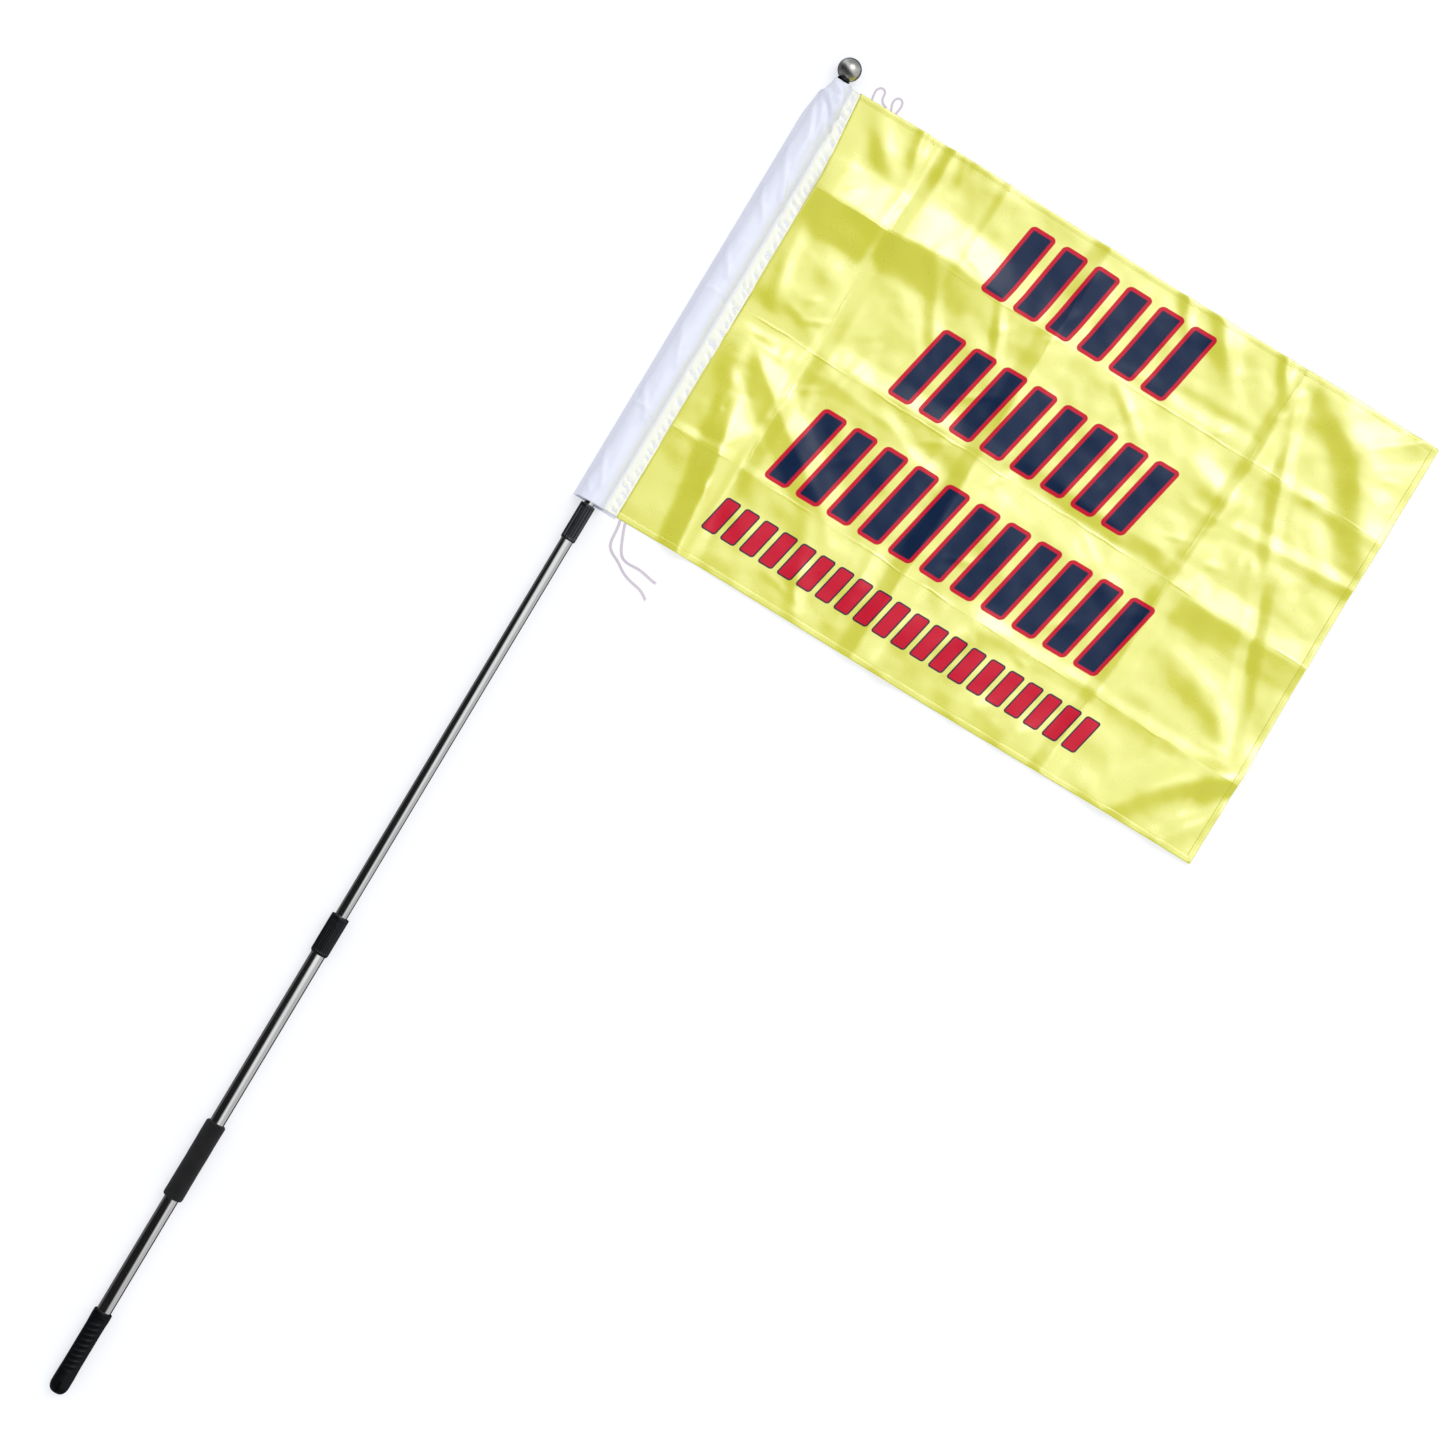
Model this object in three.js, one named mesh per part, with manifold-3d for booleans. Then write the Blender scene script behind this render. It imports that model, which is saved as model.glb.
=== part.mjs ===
// A telescopic hand flagpole with a rectangular flag, lying flat. Three steel tubes slide into each
// other and lock by twisting an expander inside the wider tube. The flag's sleeve turns on the top tube.
// Units are millimetres. +Y runs along the pole from butt to ball, +X from hoist to fly, +Z is up.
// The origin is the centre of the bounding box's base.
import * as THREE from "three";
import { mergeVertices } from "three/addons/utils/BufferGeometryUtils.js";
import Module from "manifold-3d";

const wasm = await Module();
wasm.setup();

// --- Driving dimensions ---------------------------------------------------------------------------
const GAP = 0.3; // running and assembly clearance between neighbouring pieces
const SIDES = 32; // facets of a round piece
const WALL = 0.5; // tube wall

const OUTER = { radius: 9.5, bottom: 26.5, top: 676 };
const MIDDLE = { radius: 8, bottom: 640, top: 1267 };
const TOP = { radius: 6.5, bottom: 1228, top: 1864 };

const HANDLE = { radius: 12.2, top: 116, tipFlat: 4, tipLength: 12 };
const LANYARD_SLOT = { width: 3, from: 2, to: 17, depth: 7 };
const FOAM = { radius: 13.2, from: 278, to: 386, round: 5 };

const COLLAR_LIP = 1.8; // the lip that keeps a guide bush in its collar
const LOWER_COLLAR = { radius: 11.75, from: 627.5, to: 681.5, tube: OUTER, inner: MIDDLE };
const UPPER_COLLAR = { radius: 9.75, from: 1221, to: 1271.5, tube: MIDDLE, inner: TOP };
const FLUTES = 24;
const FLUTE_DEPTH = 0.45;
const RIM = 3; // plain band at each end of a collar

const LOWER_LOCK = { section: MIDDLE, bore: OUTER.radius - WALL, screw: 3, length: 30, plug: 16 };
const UPPER_LOCK = { section: TOP, bore: MIDDLE.radius - WALL, screw: 2.2, length: 26, plug: 16 };

const BALL = { radius: 15, centre: 1894.5, wall: 1, mouth: 7.4 };
const NECK = { from: TOP.top + GAP, radius: 8.6, waist: 6.4 };
const STUD = { radius: 2.5, from: 1844, to: 1887 };

const AXIS_HEIGHT = BALL.radius; // the ball's lowest point touches the surface

const FLAG = { left: 36, right: 861, hoistBottom: 1277, hoistTop: 1878, flyBottom: 1274, flyTop: 1867 };
const GATHER = { from: 1770, inset: 10 }; // the top corner is pulled in towards the pole
const CLOTH = 0.6;
const HEM = { width: 9, thickness: 1.2 };
const SLEEVE = { left: -23.5, right: 17.5, bottom: 1273.5, radius: 15, wall: 0.9, edge: 2 };
const TIE = { lowerWidth: 3.4, upperWidth: 2.6, thickness: 1.6, height: 0.9, step: 6 };

// --- Materials ------------------------------------------------------------------------------------
const steel = new THREE.MeshStandardMaterial({ color: 0xb9bcc0, roughness: 0.25, metalness: 1 });
const blackPlastic = new THREE.MeshStandardMaterial({ color: 0x141416, roughness: 0.5 });
const whitePlastic = new THREE.MeshStandardMaterial({ color: 0xdcdcd6, roughness: 0.5 });
const rubber = new THREE.MeshStandardMaterial({ color: 0x101012, roughness: 0.7 });
const foam = new THREE.MeshStandardMaterial({ color: 0x1d1c1b, roughness: 0.95 });
const yellowCloth = new THREE.MeshStandardMaterial({ color: 0xe6e43c, roughness: 0.5 });
const whiteCloth = new THREE.MeshStandardMaterial({ color: 0xeceef6, roughness: 0.55 });
const cord = new THREE.MeshStandardMaterial({ color: 0xf0e6e8, roughness: 0.8 });

// --- Assembly frame -------------------------------------------------------------------------------
// Pieces are placed by their distance from the butt, with the pole's axis on x = 0.
const poleLength = BALL.centre + BALL.radius;
const assembly = new THREE.Group();
const poleFrame = new THREE.Group();
poleFrame.position.set(-(SLEEVE.left + FLAG.right) / 2, -poleLength / 2, 0);
assembly.add(poleFrame);

function add(name, geometry, material, height = AXIS_HEIGHT) {
  const mesh = new THREE.Mesh(geometry, material);
  mesh.name = name;
  mesh.position.z = height;
  poleFrame.add(mesh);
}

// --- Shape helpers --------------------------------------------------------------------------------
// A solid of revolution about the pole's axis; each point is [radius, distance from the butt].
function turned(points, sides = SIDES) {
  return new THREE.LatheGeometry(points.map(([r, y]) => new THREE.Vector2(r, y)), sides);
}

function ring(outer, inner, from, to, sides = SIDES) {
  return turned([[outer, from], [outer, to], [inner, to], [inner, from], [outer, from]], sides);
}

function rod(radius, from, to, sides = SIDES) {
  return turned([[0, from], [radius, from], [radius, to], [0, to]], sides);
}

// A quarter-round in a turned profile, from angle a to b in degrees about [r, y].
function arc(r, y, radiusR, radiusY, a, b, steps) {
  return Array.from({ length: steps + 1 }, (_, i) => {
    const t = THREE.MathUtils.degToRad(a + ((b - a) * i) / steps);
    return [Math.max(r + radiusR * Math.cos(t), 0), y + radiusY * Math.sin(t)];
  });
}

function alongPole(shape, from, to) {
  const settings = { depth: to - from, bevelEnabled: false, curveSegments: 6 };
  return new THREE.ExtrudeGeometry(shape, settings).rotateX(-Math.PI / 2).translate(0, from, 0);
}

function box(x, y, z, cx, cy, cz) {
  return new THREE.BoxGeometry(x, y, z).translate(cx, cy, cz);
}

function solid(geometry) {
  const bare = geometry.clone();
  bare.deleteAttribute("normal");
  bare.deleteAttribute("uv");
  const merged = mergeVertices(bare, 1e-4);
  return new wasm.Manifold(new wasm.Mesh({
    numProp: 3,
    vertProperties: new Float32Array(merged.attributes.position.array),
    triVerts: new Uint32Array(merged.index.array),
  }));
}

function geometryOf(manifold) {
  const mesh = manifold.getMesh();
  const geometry = new THREE.BufferGeometry();
  geometry.setAttribute("position", new THREE.BufferAttribute(mesh.vertProperties, 3));
  geometry.setIndex(new THREE.BufferAttribute(mesh.triVerts, 1));
  geometry.computeVertexNormals();
  return geometry;
}

// --- Pole -----------------------------------------------------------------------------------------
function handleGrip() {
  const { radius, top, tipFlat, tipLength } = HANDLE;
  const bore = OUTER.radius + GAP;
  const seat = OUTER.bottom - GAP;
  const body = turned([
    [0, 0],
    ...arc(tipFlat, tipLength, radius - tipFlat, tipLength, -90, 0, 6),
    [radius, top - 3],
    [radius - 1.2, top],
    [bore, top],
    [bore, seat],
    [0, seat],
  ]);
  const { width, from, to, depth } = LANYARD_SLOT;
  const slot = box(width, to - from, depth, 0, (from + to) / 2, radius - depth / 2 + 1);
  return geometryOf(solid(body).subtract(solid(slot)));
}

function foamGrip() {
  const { radius, from, to, round } = FOAM;
  const bore = OUTER.radius + GAP;
  const shoulder = radius - bore - 1;
  return turned([
    [bore, from],
    ...arc(radius - shoulder, from + round, shoulder, round, -90, 0, 4),
    ...arc(radius - shoulder, to - round, shoulder, round, 0, 90, 4),
    [bore, to],
    [bore, from],
  ]);
}

function tube({ radius, bottom, top }) {
  return ring(radius, radius - WALL, bottom, top);
}

// A collar is pressed on a tube's top end, with finger flutes between two plain rims.
function collar({ radius, from, to, tube: outerTube, inner }) {
  const outline = new THREE.Shape();
  const root = radius - FLUTE_DEPTH;
  for (let i = 0; i < FLUTES; i += 1) {
    const pitch = (2 * Math.PI) / FLUTES;
    [[0, radius], [0.5, radius], [0.65, root], [0.85, root]].forEach(([part, r], corner) => {
      const angle = (i + part) * pitch;
      const place = [r * Math.cos(angle), r * Math.sin(angle)];
      if (i + corner === 0) outline.moveTo(...place);
      else outline.lineTo(...place);
    });
  }
  const body = [[from, from + RIM], [to - RIM, to]].reduce(
    (whole, [low, high]) => whole.add(solid(rod(radius, low, high))),
    solid(alongPole(outline, from + RIM - 0.1, to - RIM + 0.1)),
  );
  const bore = turned([
    [0, from - 1],
    [outerTube.radius + GAP, from - 1],
    [outerTube.radius + GAP, to - COLLAR_LIP],
    [inner.radius + GAP + 0.1, to - COLLAR_LIP],
    [inner.radius + GAP + 0.1, to + 1],
    [0, to + 1],
  ]);
  return geometryOf(body.subtract(solid(bore)));
}

function guideBush({ to, tube: outerTube, inner }) {
  return ring(outerTube.radius, inner.radius + GAP, outerTube.top + GAP, to - COLLAR_LIP - GAP, 24);
}

// The expander is a split cone on the lock's screw: twisting the pole pulls the screw through it.
function expander({ section, bore, screw, length }) {
  const high = section.bottom - 3.5;
  const low = high - length;
  const cone = turned([
    [screw + GAP, low],
    [bore - 1.2, low],
    [bore - GAP, low + 4],
    [bore - GAP, high - 2],
    [bore - 1, high],
    [screw + GAP, high],
    [screw + GAP, low],
  ], 24);
  const split = box(bore, length + 2, 1.6, bore / 2 + 1, (low + high) / 2, 0);
  return geometryOf(solid(cone).subtract(solid(split)));
}

function lockScrew({ section, bore, screw, length, plug }) {
  const headTop = section.bottom - 3.5 - length - GAP;
  const top = section.bottom + plug - 4;
  return turned([
    [0, headTop - 3],
    [bore - 3, headTop - 3],
    [bore - 3, headTop],
    [screw, headTop],
    [screw, top],
    [0, top],
  ], 20);
}

// The plug is pressed into a section's lower end and holds the screw.
function lockPlug({ section, screw, plug }) {
  const fit = section.radius - WALL - GAP;
  const { bottom } = section;
  return turned([
    [screw + GAP, bottom - 3],
    [section.radius - 0.2, bottom - 3],
    [section.radius - 0.2, bottom - GAP],
    [fit, bottom - GAP],
    [fit, bottom + plug],
    [0, bottom + plug],
    [0, bottom + plug - 3],
    [screw + GAP, bottom + plug - 3],
    [screw + GAP, bottom - 3],
  ], 24);
}

add("handle_grip", handleGrip(), rubber);
add("outer_tube", tube(OUTER), steel);
add("foam_grip", foamGrip(), foam);
add("lower_collar", collar(LOWER_COLLAR), blackPlastic);
add("lower_guide_bush", guideBush(LOWER_COLLAR), whitePlastic);
add("lower_expander", expander(LOWER_LOCK), whitePlastic);
add("lower_lock_screw", lockScrew(LOWER_LOCK), steel);
add("lower_lock_plug", lockPlug(LOWER_LOCK), blackPlastic);
add("middle_tube", tube(MIDDLE), steel);
add("upper_collar", collar(UPPER_COLLAR), blackPlastic);
add("upper_guide_bush", guideBush(UPPER_COLLAR), whitePlastic);
add("upper_expander", expander(UPPER_LOCK), whitePlastic);
add("upper_lock_screw", lockScrew(UPPER_LOCK), steel);
add("upper_lock_plug", lockPlug(UPPER_LOCK), blackPlastic);
add("top_tube", tube(TOP), steel);

// --- Finial: plug in the tube, stud, turned neck and a hollow ball ------------------------------------
function finialPlug() {
  const fit = TOP.radius - WALL - GAP;
  const bore = STUD.radius + GAP;
  return ring(fit, bore, TOP.top - 24, TOP.top - 1, 24);
}

function finialNeck() {
  const { from, radius, waist } = NECK;
  const bore = STUD.radius + GAP;
  const shoulder = BALL.centre - Math.sqrt(BALL.radius ** 2 - BALL.mouth ** 2) - GAP;
  const spigot = BALL.mouth - GAP;
  return turned([
    [bore, from],
    [radius - 0.6, from],
    [radius, from + 1],
    [radius, from + 4],
    [waist, from + 7],
    [waist, shoulder - 3],
    [radius - 0.4, shoulder - 0.6],
    [spigot, shoulder - 0.6],
    [spigot, shoulder + 3],
    [bore, shoulder + 3],
    [bore, from],
  ], 24);
}

function finialBall() {
  const { radius, centre, wall, mouth } = BALL;
  const inside = radius - wall;
  const start = THREE.MathUtils.radToDeg(Math.acos(mouth / radius));
  const startInside = THREE.MathUtils.radToDeg(Math.acos(mouth / inside));
  return turned([
    ...arc(0, centre, radius, radius, -start, 0, 5),
    ...arc(0, centre, radius, radius, 0, 90, 6).slice(1),
    ...arc(0, centre, inside, inside, 90, -startInside, 8),
    [mouth, centre - Math.sqrt(radius ** 2 - mouth ** 2)],
  ], 28);
}

add("finial_plug", finialPlug(), blackPlastic);
add("finial_stud", rod(STUD.radius, STUD.from, STUD.to, 16), steel);
add("finial_neck", finialNeck(), blackPlastic);
add("finial_ball", finialBall(), steel);

// --- Flag -----------------------------------------------------------------------------------------
// The flag lies on the surface: a thin panel, hemmed on three sides, sewn to the pole sleeve's seam.
const { left: hoist, right: fly, hoistBottom, hoistTop } = FLAG;
const slope = (x, atHoist, atFly) => atHoist + ((atFly - atHoist) * (x - hoist)) / (fly - hoist);
const bottomAt = (x) => slope(x, hoistBottom, FLAG.flyBottom);
const topAt = (x) => slope(x, hoistTop, FLAG.flyTop);

function cloth(points, thickness) {
  const shape = new THREE.Shape(points.map(([x, y]) => new THREE.Vector2(x, y)));
  return new THREE.ExtrudeGeometry(shape, { depth: thickness, bevelEnabled: false });
}

// A strip from x0 to x1 whose long edges lie at the given distances above an edge function.
function strip(x0, x1, edge, low, high) {
  return cloth([[x0, edge(x0) + low], [x1, edge(x1) + low], [x1, edge(x1) + high], [x0, edge(x0) + high]],
    HEM.thickness);
}

const hemInside = HEM.width + GAP;
const panelRight = fly - hemInside;
const gatheredAt = (y) => hoist - (GATHER.inset * (y - GATHER.from)) / (hoistTop - GATHER.from);
const panelTopLeft = gatheredAt(hoistTop - hemInside);
const topHemLeft = gatheredAt(hoistTop - HEM.width);
const panel = [
  [hoist, bottomAt(hoist) + hemInside],
  [panelRight, bottomAt(panelRight) + hemInside],
  [panelRight, topAt(panelRight) - hemInside],
  [panelTopLeft, hoistTop - hemInside],
  [hoist, GATHER.from],
];
const seam = [
  [SLEEVE.right + GAP, hoistBottom],
  [hoist - GAP, hoistBottom],
  [hoist - GAP, GATHER.from],
  [gatheredAt(hoistTop) - GAP, hoistTop],
  [SLEEVE.right + GAP, hoistTop],
];
add("flag_panel", cloth(panel, CLOTH), yellowCloth, 0);
add("bottom_hem", strip(hoist, panelRight, bottomAt, 0, HEM.width), yellowCloth, 0);
add("top_hem", strip(topHemLeft, panelRight, topAt, -HEM.width, 0), yellowCloth, 0);
add("fly_hem", cloth([
  [fly - HEM.width, bottomAt(fly - HEM.width)],
  [fly, bottomAt(fly)],
  [fly, topAt(fly)],
  [fly - HEM.width, topAt(fly - HEM.width)],
], HEM.thickness), yellowCloth, 0);
add("sleeve_seam", cloth(seam, HEM.thickness), whiteCloth, 0);

// The sleeve is a drop-shaped tube: round over the pole, with a folded left edge and a flat seam side.
// Its outline is drawn about the pole's axis, x across and y towards the underside.
function sleeveOutline(radius, left, right, edge) {
  const underside = radius;
  const tangent = (x, y) => {
    const distance = Math.hypot(x, y);
    return Math.atan2(y, x) - Math.sign(x) * Math.acos(radius / distance);
  };
  const outline = new THREE.Path();
  const fromLeft = tangent(left, underside - edge);
  const toRight = tangent(right, underside - edge);
  outline.moveTo(left, underside);
  outline.lineTo(left, underside - edge);
  outline.absarc(0, 0, radius, fromLeft, toRight + 2 * Math.PI, false);
  outline.lineTo(right, underside - edge);
  outline.lineTo(right, underside);
  outline.closePath();
  return outline;
}

function poleSleeve() {
  const { left, right, bottom, radius, wall, edge } = SLEEVE;
  const points = sleeveOutline(radius, left, right, edge).getPoints(9);
  const shape = new THREE.Shape(points);
  shape.holes.push(sleeveOutline(radius - wall, left + 3 * wall, right - 3 * wall, edge / 4));
  return alongPole(shape, bottom, hoistTop);
}

add("pole_sleeve", poleSleeve(), whiteCloth);

// --- Tie tapes ------------------------------------------------------------------------------------
// Two loose flat tapes at the lower seam corner and two short bights at the upper one, all lying flat.
const ROUTES = {
  bottom_tie_long: [
    [42.7, 1276], [44.2, 1269.5], [45.3, 1262], [45.9, 1254.5], [46.8, 1247.5], [49.2, 1241.6],
    [53.2, 1237.4], [58.6, 1234.2], [64.6, 1231.4], [70.6, 1227.8], [77, 1223.6], [84, 1220.2],
    [91.5, 1217.9], [99, 1216.4], [106, 1215], [112.4, 1212.4], [118, 1208.6],
  ],
  bottom_tie_short: [
    [49.9, 1276], [52.6, 1268], [55.6, 1260.6], [58.8, 1253.2], [62.2, 1246], [66.4, 1239.8],
    [71.6, 1236.2], [78, 1234.9], [84.8, 1235], [91.6, 1235.4], [98.6, 1235], [105.4, 1233.8],
    [112, 1232.4], [118.4, 1231.4],
  ],
  top_tie_inner: [
    [42, 1878.6], [41, 1884.2], [40.4, 1889.2], [41, 1893.8], [44, 1897.2], [48.4, 1897.6], [51.4, 1894.6],
    [52, 1890], [53.2, 1885.6], [56.6, 1882], [62.4, 1879.5],
  ],
  top_tie_outer: [
    [69.6, 1878.6], [67.4, 1883.6], [65.9, 1888.4], [65.8, 1892.8], [67.9, 1896.6], [71.6, 1898],
    [75.2, 1896.4], [77, 1892.6], [77.2, 1888], [76.6, 1883.4], [75.8, 1878.6],
  ],
};

function tie(route, width) {
  const path = new THREE.CatmullRomCurve3(route.map(([x, y]) => new THREE.Vector3(x, y, TIE.height)));
  const section = new THREE.Shape();
  section.absellipse(0, 0, TIE.thickness / 2, width / 2, 0, 2 * Math.PI, false);
  return new THREE.ExtrudeGeometry(section, {
    steps: Math.round(path.getLength() / TIE.step),
    extrudePath: path,
    curveSegments: 4,
  });
}

for (const [name, route] of Object.entries(ROUTES)) {
  const width = name.startsWith("bottom") ? TIE.lowerWidth : TIE.upperWidth;
  add(name, tie(route, width), cord, 0);
}

export default assembly;
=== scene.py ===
"""Looks for a telescopic flagpole with a rectangular flag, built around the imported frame.

Lengths inside this script are millimetres in the pole's own coordinates: x across from the pole's axis
towards the flag's fly, y from the butt towards the ball, z up from the surface. place() turns them into
the frame's metres.
"""
from functools import reduce
from math import acos, atan2, copysign, cos, hypot, pi, radians, sin, sqrt, tan

import bmesh
import bpy
import numpy as np
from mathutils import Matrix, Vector, noise


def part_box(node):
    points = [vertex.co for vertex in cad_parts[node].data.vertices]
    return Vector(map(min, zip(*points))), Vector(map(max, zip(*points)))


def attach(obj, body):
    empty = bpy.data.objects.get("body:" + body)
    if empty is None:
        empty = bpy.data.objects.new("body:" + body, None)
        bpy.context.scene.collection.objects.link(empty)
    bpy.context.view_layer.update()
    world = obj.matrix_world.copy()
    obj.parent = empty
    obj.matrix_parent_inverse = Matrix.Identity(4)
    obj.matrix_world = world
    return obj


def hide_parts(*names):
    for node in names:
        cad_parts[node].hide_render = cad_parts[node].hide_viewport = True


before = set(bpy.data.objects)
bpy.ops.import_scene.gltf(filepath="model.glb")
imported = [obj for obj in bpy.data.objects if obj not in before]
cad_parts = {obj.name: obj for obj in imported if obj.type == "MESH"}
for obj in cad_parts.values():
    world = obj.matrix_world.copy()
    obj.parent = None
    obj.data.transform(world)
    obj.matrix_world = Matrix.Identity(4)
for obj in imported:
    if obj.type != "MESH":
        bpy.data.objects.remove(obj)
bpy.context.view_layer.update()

# --- Pole coordinates, from the frame ---
MM = 0.001
tube_low, tube_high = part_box("top_tube")
POLE = Vector(((tube_low.x + tube_high.x) / 2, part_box("handle_grip")[0].y, 0))
AXIS = (tube_low.z + tube_high.z) / 2 / MM  # height of the pole's axis


def span(node):
    """A node's lowest and highest corner in pole millimetres."""
    low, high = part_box(node)
    return (low - POLE) / MM, (high - POLE) / MM


def round_span(node):
    """Where a round node starts and ends along the pole, and its radius."""
    low, high = span(node)
    return low.y, high.y, (high.x - low.x) / 2


def place(points):
    """Pole millimetres to frame metres, for an array of points."""
    return np.asarray(points, float) * MM + np.array(POLE)


def link(name, data):
    """A new object in the scene."""
    obj = bpy.data.objects.new(name, data)
    bpy.context.collection.objects.link(obj)
    return obj


# --- Camera ---
VIEW_CENTRE = (279, 1127)
VIEW_WIDTH = 1780
VIEW_TURN = radians(31)
LENS, SENSOR = 100, 36

camera_data = bpy.data.cameras.new("camera")
camera_data.lens = LENS
camera_data.sensor_width = SENSOR
camera_height = VIEW_WIDTH * LENS / SENSOR
camera_data.clip_end = 2 * camera_height * MM
camera = link("camera", camera_data)
camera.location = place((*VIEW_CENTRE, camera_height))
camera.rotation_euler = (0, 0, VIEW_TURN)
bpy.context.scene.camera = camera


# --- Meshes ---
UP = np.array((0, 0, 1.0))
NOISE_GAIN = 1.6  # brings Blender's noise to about -1 to 1


def mesh_object(name, vertices, faces, material):
    """A smooth-shaded object from pole millimetres."""
    mesh = bpy.data.meshes.new(name)
    mesh.from_pydata(place(vertices).tolist(), [], faces)
    mesh.polygons.foreach_set("use_smooth", [True] * len(mesh.polygons))
    mesh.materials.append(material)
    return link(name, mesh)


def solid_object(name, vertices, faces, material, crease=40):
    """A closed solid from pole millimetres; edges sharper than the crease angle stay sharp."""
    obj = mesh_object(name, vertices, faces, material)
    shape = bmesh.new()
    shape.from_mesh(obj.data)
    bmesh.ops.remove_doubles(shape, verts=shape.verts, dist=1e-6)
    bmesh.ops.recalc_face_normals(shape, faces=shape.faces)
    shape.to_mesh(obj.data)
    shape.free()
    obj.data.set_sharp_from_angle(angle=radians(crease))
    return obj


def grid_faces(rows, columns, wrap_rows=False, wrap_columns=False):
    """Quads of a grid of rows * columns points, numbered row by row."""
    faces = []
    for i in range(rows if wrap_rows else rows - 1):
        for j in range(columns if wrap_columns else columns - 1):
            k, m = (i + 1) % rows, (j + 1) % columns
            faces.append((i * columns + j, i * columns + m, k * columns + m, k * columns + j))
    return faces


def tube_faces(rings, count):
    """Faces of a closed tube: rings of count points, and a cap at each end."""
    caps = [tuple(range(count)), tuple(range((rings - 1) * count, rings * count))]
    return grid_faces(rings, count, wrap_columns=True) + caps


def smooth(value, low, high):
    """0 below low, 1 above high, and a smooth step between."""
    t = np.clip((np.asarray(value, float) - low) / (high - low), 0, 1)
    return t * t * (3 - 2 * t)


def band(value, start, full, fade, end):
    """0 outside start and end, 1 between full and fade, and smooth steps between."""
    return smooth(value, start, full) * (1 - smooth(value, fade, end))


def unit(vectors):
    return vectors / np.linalg.norm(vectors, axis=-1, keepdims=True)


def distances(route):
    """How far along a polyline each of its points is."""
    return np.concatenate([[0], np.cumsum(np.linalg.norm(np.diff(route, axis=0), axis=1))])


def points_at(wanted, route):
    """A polyline's points at the wanted distances along it."""
    along = distances(route)
    return np.stack([np.interp(wanted, along, values) for values in route.T], -1)


def arc(centre, radii, start, end, count):
    """Points on a circle or ellipse; angles turn from the first axis towards the second."""
    return [(centre[0] + radii[0] * cos(a), centre[1] + radii[1] * sin(a))
            for a in np.linspace(start, end, count)]


def fillet(points, closed=False, steps=5):
    """Rounds each corner of an outline by its own radius; points are (a, b, radius)."""
    outline = []
    count = len(points)
    for i, (a, b, radius) in enumerate(points):
        corner = np.array((a, b), float)
        if radius <= 0 or (not closed and i in (0, count - 1)):
            outline.append(corner)
            continue
        before = unit(points[i - 1][:2] - corner)
        after = unit(points[(i + 1) % count][:2] - corner)
        half = acos(np.clip(before @ after, -1, 1)) / 2
        middle = unit(before + after) * radius / sin(half)
        first = before * radius / tan(half) - middle
        last = after * radius / tan(half) - middle
        for t in np.linspace(0, 1, steps):
            outline.append(corner + middle + unit(first * (1 - t) + last * t) * radius)
    return np.array(outline)


def turned(name, profile, material, sides=96, closed=False, shape=None):
    """A solid of revolution about the pole's axis from (radius, y) points.

    shape(radius, y, angle) may change the radius; angle 0 is the top side.
    """
    profile = np.array(profile, float)
    angle, radius = np.meshgrid(np.arange(sides) * 2 * pi / sides, profile[:, 0])
    y = np.repeat(profile[:, 1:], sides, 1)
    if shape:
        radius = shape(radius, y, angle)
    points = np.stack([radius * np.sin(angle), y, AXIS + radius * np.cos(angle)], -1).reshape(-1, 3)
    faces = grid_faces(len(profile), sides, wrap_rows=closed, wrap_columns=True)
    return solid_object(name, points, faces, material)


def sweep(route, outline, step, roll=None):
    """Points and faces of a solid with a fixed section along a route.

    The outline is (side, up) points in millimetres; roll(t) turns it about the route, with t from 0 to 1.
    """
    length = distances(route)[-1]
    stations = np.linspace(0, length, max(int(length / step), 4) + 1)
    centre = points_at(stations, route)
    tangent = unit(np.gradient(centre, axis=0))
    side = unit(np.cross(tangent, UP))
    up = np.cross(side, tangent)
    angle = (roll(stations / length) if roll else stations * 0)[:, None]
    across = side * np.cos(angle) + up * np.sin(angle)
    above = up * np.cos(angle) - side * np.sin(angle)
    outline = np.array(outline)
    rings = centre[:, None] + across[:, None] * outline[:, :1] + above[:, None] * outline[:, 1:]
    return rings.reshape(-1, 3), tube_faces(len(stations), len(outline))


def spline(points, step):
    """A smooth route through given points (Catmull-Rom), sampled every step."""
    p = np.array(points, float)
    p = np.vstack([2 * p[0] - p[1], p, 2 * p[-1] - p[-2]])
    route = []
    for i in range(1, len(p) - 2):
        count = max(int(np.linalg.norm(p[i + 1] - p[i]) / step), 1)
        for t in np.arange(count) / count:
            route.append(0.5 * (2 * p[i] + (p[i + 1] - p[i - 1]) * t
                                + (2 * p[i - 1] - 5 * p[i] + 4 * p[i + 1] - p[i + 2]) * t**2
                                + (3 * p[i] - p[i - 1] - 3 * p[i + 1] + p[i + 2]) * t**3))
    return np.array(route + [p[-2]])


def perlin(x, y, size, seed):
    """Smooth noise over a plane, about -1 to 1, with features of the given size."""
    flat = [noise.noise((a / size, b / size, seed)) for a, b in zip(np.ravel(x), np.ravel(y))]
    return np.array(flat).reshape(np.shape(x)) * NOISE_GAIN


def keep(obj, body, slot, *nodes):
    """Puts a piece on its body and hides the CAD nodes that it stands for; slot is not used."""
    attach(obj, body)
    if nodes:
        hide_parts(*nodes)
    return obj


# --- Materials ---
COLOUR_A, COLOUR_B, MIXED_COLOUR = 6, 7, 2  # a Mix node's sockets for colours
PRINCIPLED = {"specular": "Specular IOR Level", "ior": "IOR"}


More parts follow.
